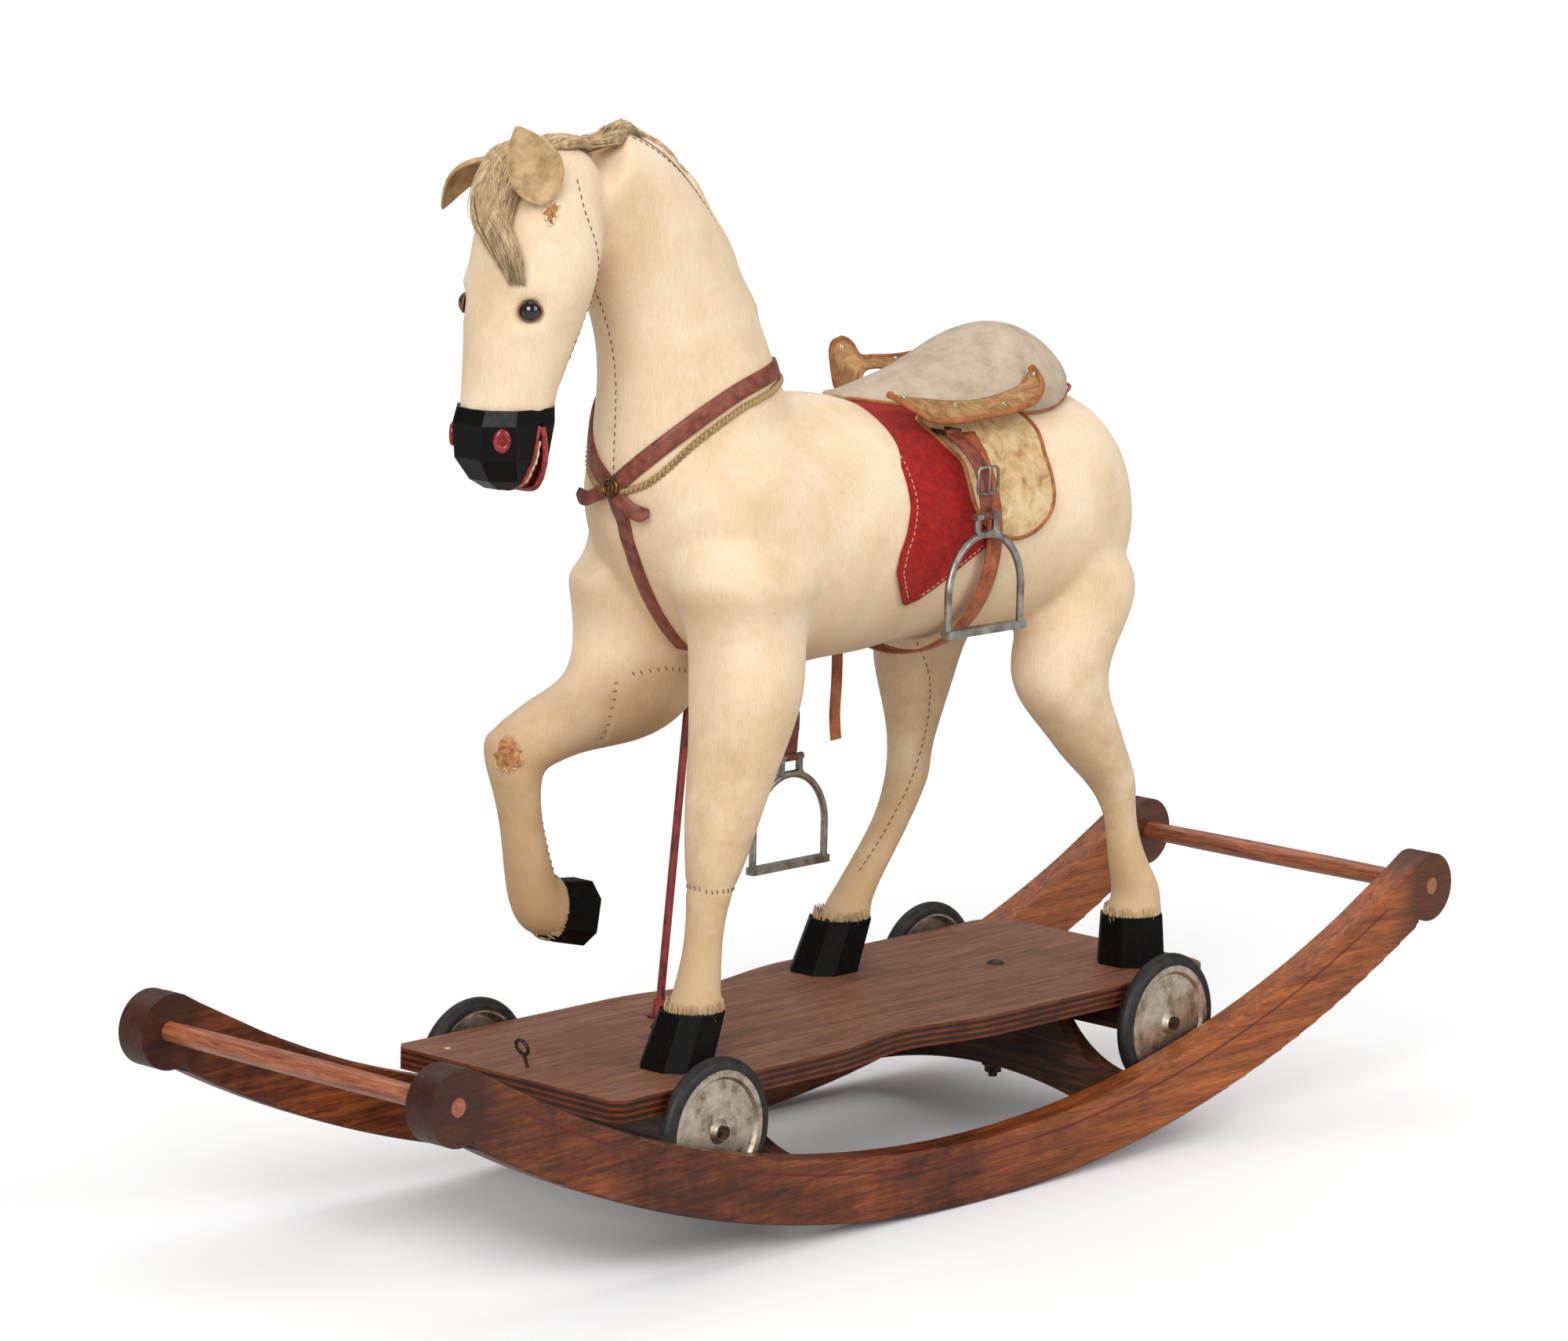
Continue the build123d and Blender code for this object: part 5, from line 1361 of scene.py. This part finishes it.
# %% [markdown]
# The blanket's hem is a running stitch. Its path is free, so the way out of the cloth is
# given with it instead of being looked up on the hide.
# %% Hem stitches
def sewn_edge(name, path, out, length, gap, radius, material, slot):
    """Running stitches along a free path whose outward way is known."""
    far = travelled(path)
    count = int(far[-1] / (length + gap))
    middles = (np.arange(count) + 0.5) * (length + gap)
    where = middles[:, None] + np.linspace(-0.5, 0.5, 6)[None] * length
    line = at_distance(path, where)
    away = unit(np.stack([np.interp(where, far, out[:, k]) for k in range(3)], -1))
    line = line + away * (radius * 1.6 * np.sin(np.linspace(0, np.pi, 6)) - radius * 0.7)[None, :, None]
    side = unit(np.cross(np.gradient(line, axis=1), away))
    obj = bundle(name, round_tubes(line, radius, side, away, 6), material)


line_angle = np.linspace(-0.97 * BLANKET_LOW, 0.97 * BLANKET_LOW, 300)
front_x = np.interp(np.abs(line_angle) / BLANKET_LOW, *BLANKET_FRONT) + 6
path = barrel_point(front_x, line_angle, 3.1)
out = np.stack([0 * line_angle, np.sin(line_angle), np.cos(line_angle)], 1)
HEM_THREAD = (0.0036, 0.0020, 0.00035)  # a stitch, the gap after it, and the thread's radius
sewn_edge("blanket_stitching", path, out, *HEM_THREAD, pale_thread, "felt_red")
for side, sign in SIDES.items():
    rear_angle = sign * BLANKET_LOW * np.linspace(0.965, 0.74, 120)
    rear_x = np.interp(np.abs(rear_angle) / BLANKET_LOW, *BLANKET_REAR) - 6
    path = barrel_point(rear_x, rear_angle, 3.1)
    out = np.stack([0 * rear_angle, np.sin(rear_angle), np.cos(rear_angle)], 1)
    sewn_edge(f"blanket_hem_{side}", path, out, *HEM_THREAD, pale_thread, "felt_red")
print("hem stitches sewn")

# %% [markdown]
# The seat is stuffed felt: low at the pommel, broad and high at the cantle. Each section
# across it is half an ellipse whose width and height change along the horse; below, it rests
# on the barrel. A rolled edge runs round the cantle.
# %% Stuffed felt seat
SEAT = np.array([  # x, half width, crown height above the floor, in millimetres
    (-12, 10, 657), (0, 20, 659), (15, 30, 661), (33, 40, 664), (75, 53, 675), (117, 60, 690),
    (144, 64, 700), (170, 66, 705), (195, 64, 705), (215, 58, 698), (232, 48, 688),
    (246, 36, 672), (253, 24, 658),
])
x = np.linspace(-12, 253, 70)
half = np.interp(x, SEAT[:, 0], SEAT[:, 1])
crown = np.interp(x, SEAT[:, 0], SEAT[:, 2])
kernel = np.ones(7) / 7
half = np.convolve(np.pad(half, 3, mode="edge"), kernel, "valid")
crown = np.convolve(np.pad(crown, 3, mode="edge"), kernel, "valid")
v = np.linspace(-1, 1, 41)[None]
y = half[:, None] * np.sin(v * np.pi / 2)
SEAT_BED = 5.0  # the flaps and felt between barrel and seat
sideways = np.clip(y / (BARREL_HALF_WIDTH + SEAT_BED), -1, 1)
back_z = BARREL_MID_Z + (BARREL_HALF_HEIGHT + SEAT_BED) * np.sqrt(1 - sideways**2)
swell = np.maximum(crown[:, None] - back_z.max(1, keepdims=True), 4)
top_z = back_z + 1.5 + swell * np.cos(v * np.pi / 2) ** 0.7
dip = -3.0 * np.exp(-(((x[:, None] - 100) / 40) ** 2)) * np.cos(v * np.pi / 2)
top = np.stack(np.broadcast_arrays(x[:, None], y, top_z + dip), -1)
low = np.stack(np.broadcast_arrays(x[:, None], y * 0.985, back_z), -1)
seat = loft("felt_seat", np.concatenate([top, low[:, ::-1]], 1) * MM, seat_felt)
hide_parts("saddle_seat")
rim_path = np.vstack([low[:, 0], low[::-1, -1]]) * MM
rim_path = np.vstack([rim_path[:1], rim_path])
roll = closed_tube(
    "seat_piping", smooth_line(rim_path[::4], 220), 0.0016, 8, binding_leather, (0, 0.02, 1)
)
print("seat faces", len(seat.data.polygons))

# %% [markdown]
# The skirts are small leather-bound panels sewn to the seat's edge. The left one hangs over
# the top of the flap; the right one has dried and curls up. Four nickel studs hold the left
# one, three the right.
# %% Saddle skirts
def skirt(name, inner, outer, dip_mm, node):
    """A panel between an inner line on the seat and an outer line; rows run from one to the
    other and the sheet bows by dip_mm between them."""
    inner, outer = smooth_line(mm(*inner), 48), smooth_line(mm(*outer), 48)
    s = np.linspace(0, 1, 14)[:, None, None]
    sheet = inner[None] * (1 - s) + outer[None] * s
    sheet[..., 2] += (dip_mm * MM * np.sin(np.pi * s))[..., 0]
    du, dv = np.gradient(sheet, axis=1), np.gradient(sheet, axis=0)
    n = unit(np.cross(du, dv))
    n = n * np.sign(n[..., 2:].mean())
    t = 1.1 * MM
    leaves = np.concatenate([sheet + n * t, (sheet - n * t)[::-1]], 0)
    obj = piece(name, leaves, rubbed_oilcloth, wrap_rows=True)
    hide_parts(node)
    edge = np.vstack([sheet[:, 0], sheet[-1, 1:-1], sheet[::-1, -1]])
    bound = closed_tube(
        name + "_binding", smooth_line(edge[::2], 160), 0.0028, 8, binding_leather, (0.05, 0, 1)
    )
    return sheet, n


left_inner = [
    (-6, -57, 662), (20, -61, 659), (50, -64, 655), (84, -65, 652), (114, -64, 653),
    (140, -62, 656), (156, -60, 661), (164, -64, 671),
]
left_outer = [
    (-7, -61, 663), (-4, -80, 656), (12, -89, 645), (43, -92, 642), (78, -92, 643),
    (115, -90, 645), (146, -86, 650), (163, -78, 662), (166, -66, 673),
]
sheet, normal = skirt("oilcloth_skirt_left", left_inner, left_outer, 2.0, "left_saddle_skirt")
nickel_stud = finish("nickel_stud", 0.25, None, 0.1, "#C9C2B4", Metallic=1.0)


def studs(name, sheet, normal, picks):
    """Low domes at these rows and columns of a sheet, each facing out of it."""
    for index, (row, column) in enumerate(picks):
        place = (sheet[row, column] + normal[row, column] * MM) / MM
        dome = dish(f"{name}_{index}", place, normal[row, column], STUD_RADIUS, 1.6, nickel_stud)


STUD_RADIUS = 2.8
picks = [(8, 4), (5, 17), (9, 28), (8, 44)]
studs("skirt_stud_left", sheet, normal, picks)
right_inner = [
    (66, 40, 656), (70, 42, 664), (80, 46, 668), (95, 50, 668), (110, 52, 667), (128, 53, 668),
    (152, 54, 669), (180, 54, 671), (200, 52, 673),
]
right_outer = [
    (72, 74, 650), (72, 80, 682), (84, 82, 690), (96, 81, 686), (106, 79, 674), (125, 78, 672),
    (152, 77, 671), (180, 76, 673), (203, 75, 677),
]
sheet, normal = skirt("oilcloth_skirt_right", right_inner, right_outer, -3.0, "right_saddle_skirt")
picks = [(11, 10), (11, 22), (11, 34)]
studs("skirt_stud_right", sheet, normal, picks)
print("skirt grid", sheet.shape[:2])

# %% [markdown]
# The girth goes round the barrel over the flaps and its spare end hangs down on the far side.
# It is the strap section again, carried round the barrel's ellipse.
# %% Girth
angle = np.linspace(np.radians(44), np.radians(316), 140)
girth_x = 69 + 3 * np.sin(angle)
path = barrel_point(girth_x, angle, 6.3)
out = np.stack([0 * angle, np.sin(angle), np.cos(angle)], 1)
girth = strap("girth_strap", path, out, 0.0185, girth_leather)
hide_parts("girth")
tail = smooth_line(
    mm(
        (69, 66, 462), (69, 63.5, 448), (69.5, 62.2, 430), (69, 61.6, 400), (68.4, 62.4, 370),
        (69.4, 61.4, 348),
    ),
    40,
)
tail_out = np.tile([0.0, 1.0, 0.0], (40, 1))
spare = strap("girth_spare_end", tail, tail_out, 0.0125, girth_leather)
print("girth length in mm", round(travelled(path)[-1] / MM))

# %% [markdown]
# A stirrup leather is looped over the saddle's bar, hangs over the flap and carries the iron
# at its foot. The strap, its buckle and the buckle's pin ride together on one empty for each side.
# %% Stirrup leathers and buckles
HINGE_Y, HINGE_Z, HANG_Y = 84.0, 632.0, 125.0
STIRRUPS = {"left": (43.0, 566.0), "right": (80.0, 322.0)}
for side, sign in SIDES.items():
    x, eye_z = STIRRUPS[side]
    loop = np.linspace(np.radians(-10), np.radians(300), 16)
    top = np.stack([0 * loop + x, HINGE_Y + 2.6 * np.cos(loop), HINGE_Z + 2.6 * np.sin(loop)], 1)[::-1]
    route = [
        (x, HINGE_Y + 3.4, HINGE_Z - 1), (x, 108, 617), (x, 121, 600), (x, 125, 578),
        (x, 125, 572),
    ]
    if side == "right":
        route += [(x, 125, z) for z in (540, 480, 420, 360)]
    route += [(x, 125, eye_z + 6)]
    drop = smooth_line(np.array(route), 60)
    foot_angle = np.linspace(np.radians(60), np.radians(-240), 16)
    foot = np.stack(
        [0 * foot_angle + x, HANG_Y + 3.6 * np.cos(foot_angle), eye_z + 3.6 * np.sin(foot_angle)],
        1,
    )
    path = np.vstack([top, drop, foot]) * MM
    path[:, 1] *= sign
    strap_width = np.interp(path[:, 2] / MM, [eye_z + 8, eye_z + 26], [13.5, 17.0]) * MM
    way = np.gradient(path, axis=0)
    out = np.cross(np.tile([sign * 1.0, 0, 0], (len(path), 1)), way)
    leather_strap = strap(f"stirrup_strap_{side}", path, -out, strap_width, strap_leather)
    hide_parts(f"{side}_stirrup_leather")
    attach(leather_strap, f"{side}_leather")
    buckle_z = 596.0 if side == "left" else 352.0
    buckle_y = 122.5 if side == "left" else 125.0
    corner = full_turn(40)
    frame_x = x + 12.5 * np.sign(np.cos(corner)) * np.abs(np.cos(corner)) ** 0.35
    frame_z = buckle_z + 11.0 * np.sign(np.sin(corner)) * np.abs(np.sin(corner)) ** 0.35
    loop_path = np.stack([frame_x, np.full(40, sign * (buckle_y + 3.2)), frame_z], 1) * MM
    ring_pts = ring_points(np.vstack([loop_path, loop_path[:1]]), 0.0013, 8, (0, 1, 0))[:-1]
    buckle = hoop(f"buckle_{side}", ring_pts, cast_aluminium)
    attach(buckle, f"{side}_leather")
    prong_z = buckle_z + 12 - 23 * np.linspace(0, 1, 8)
    prong = np.stack([np.full(8, x), np.full(8, sign * (buckle_y + 4.6)), prong_z], 1) * MM
    pin = closed_tube(f"buckle_pin_{side}", prong, 0.0009, 8, cast_aluminium, (0, 1, 0))
    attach(pin, f"{side}_leather")
print("stirrups", list(STIRRUPS))

# %% [markdown]
# The floor is a plain pale sheet under the object. It is shown white to the camera and grey to
# other rays, and keeps the shadow. Three broad lamps light the horse softly, and a plain world
# fills in the rest.
# %% Floor, lamps and world
floor_mat = bpy.data.materials.new("studio_floor")
floor_mat.use_nodes = True
tree = floor_mat.node_tree
camera_ray = add(tree, "ShaderNodeLightPath").outputs["Is Camera Ray"]
shade = tree.nodes["Principled BSDF"]
shade.inputs["Roughness"].default_value = 0.9
shade.inputs["Specular IOR Level"].default_value = 0.0
tree.links.new(blend_colour(tree, camera_ray, "#C2C2C2", "#F7F7F7"), shade.inputs["Base Color"])
floor_mesh = bpy.data.meshes.new("studio_floor")
floor_mesh.from_pydata([(-90, -90, 0), (90, -90, 0), (90, 90, 0), (-90, 90, 0)], [], [(0, 1, 2, 3)])
floor_mesh.materials.append(floor_mat)
floor = bpy.data.objects.new("studio_floor", floor_mesh)
scene.collection.objects.link(floor)


def lamp(name, towards, strength, spread):
    """A soft sun: it shines from a direction, and its spread in degrees softens the shadow."""
    data = bpy.data.lights.new(name, "SUN")
    data.energy, data.angle = strength, np.radians(spread)
    obj = bpy.data.objects.new(name, data)
    obj.rotation_euler = Vector(towards).to_track_quat("Z", "Y").to_euler()
    scene.collection.objects.link(obj)


lamp("front_lamp", (-0.85, -0.50, 0.50), 1.95, 35)
lamp("side_lamp", (0.30, -1.0, 0.45), 0.95, 35)
lamp("top_lamp", (0.1, 0.3, 1.0), 0.85, 60)
world = bpy.data.worlds.new("studio_world")
scene.world = world
world.use_nodes = True
tree = world.node_tree
path_node = add(tree, "ShaderNodeLightPath")
bare = maths(tree, "SUBTRACT", 0.52, maths(tree, "MULTIPLY", path_node.outputs["Is Glossy Ray"], 0.25))
strength = maths(tree, "MAXIMUM", bare, path_node.outputs["Is Camera Ray"])
background = tree.nodes["Background"]
background.inputs["Color"].default_value = (1, 1, 1, 1)
tree.links.new(strength, background.inputs["Strength"])
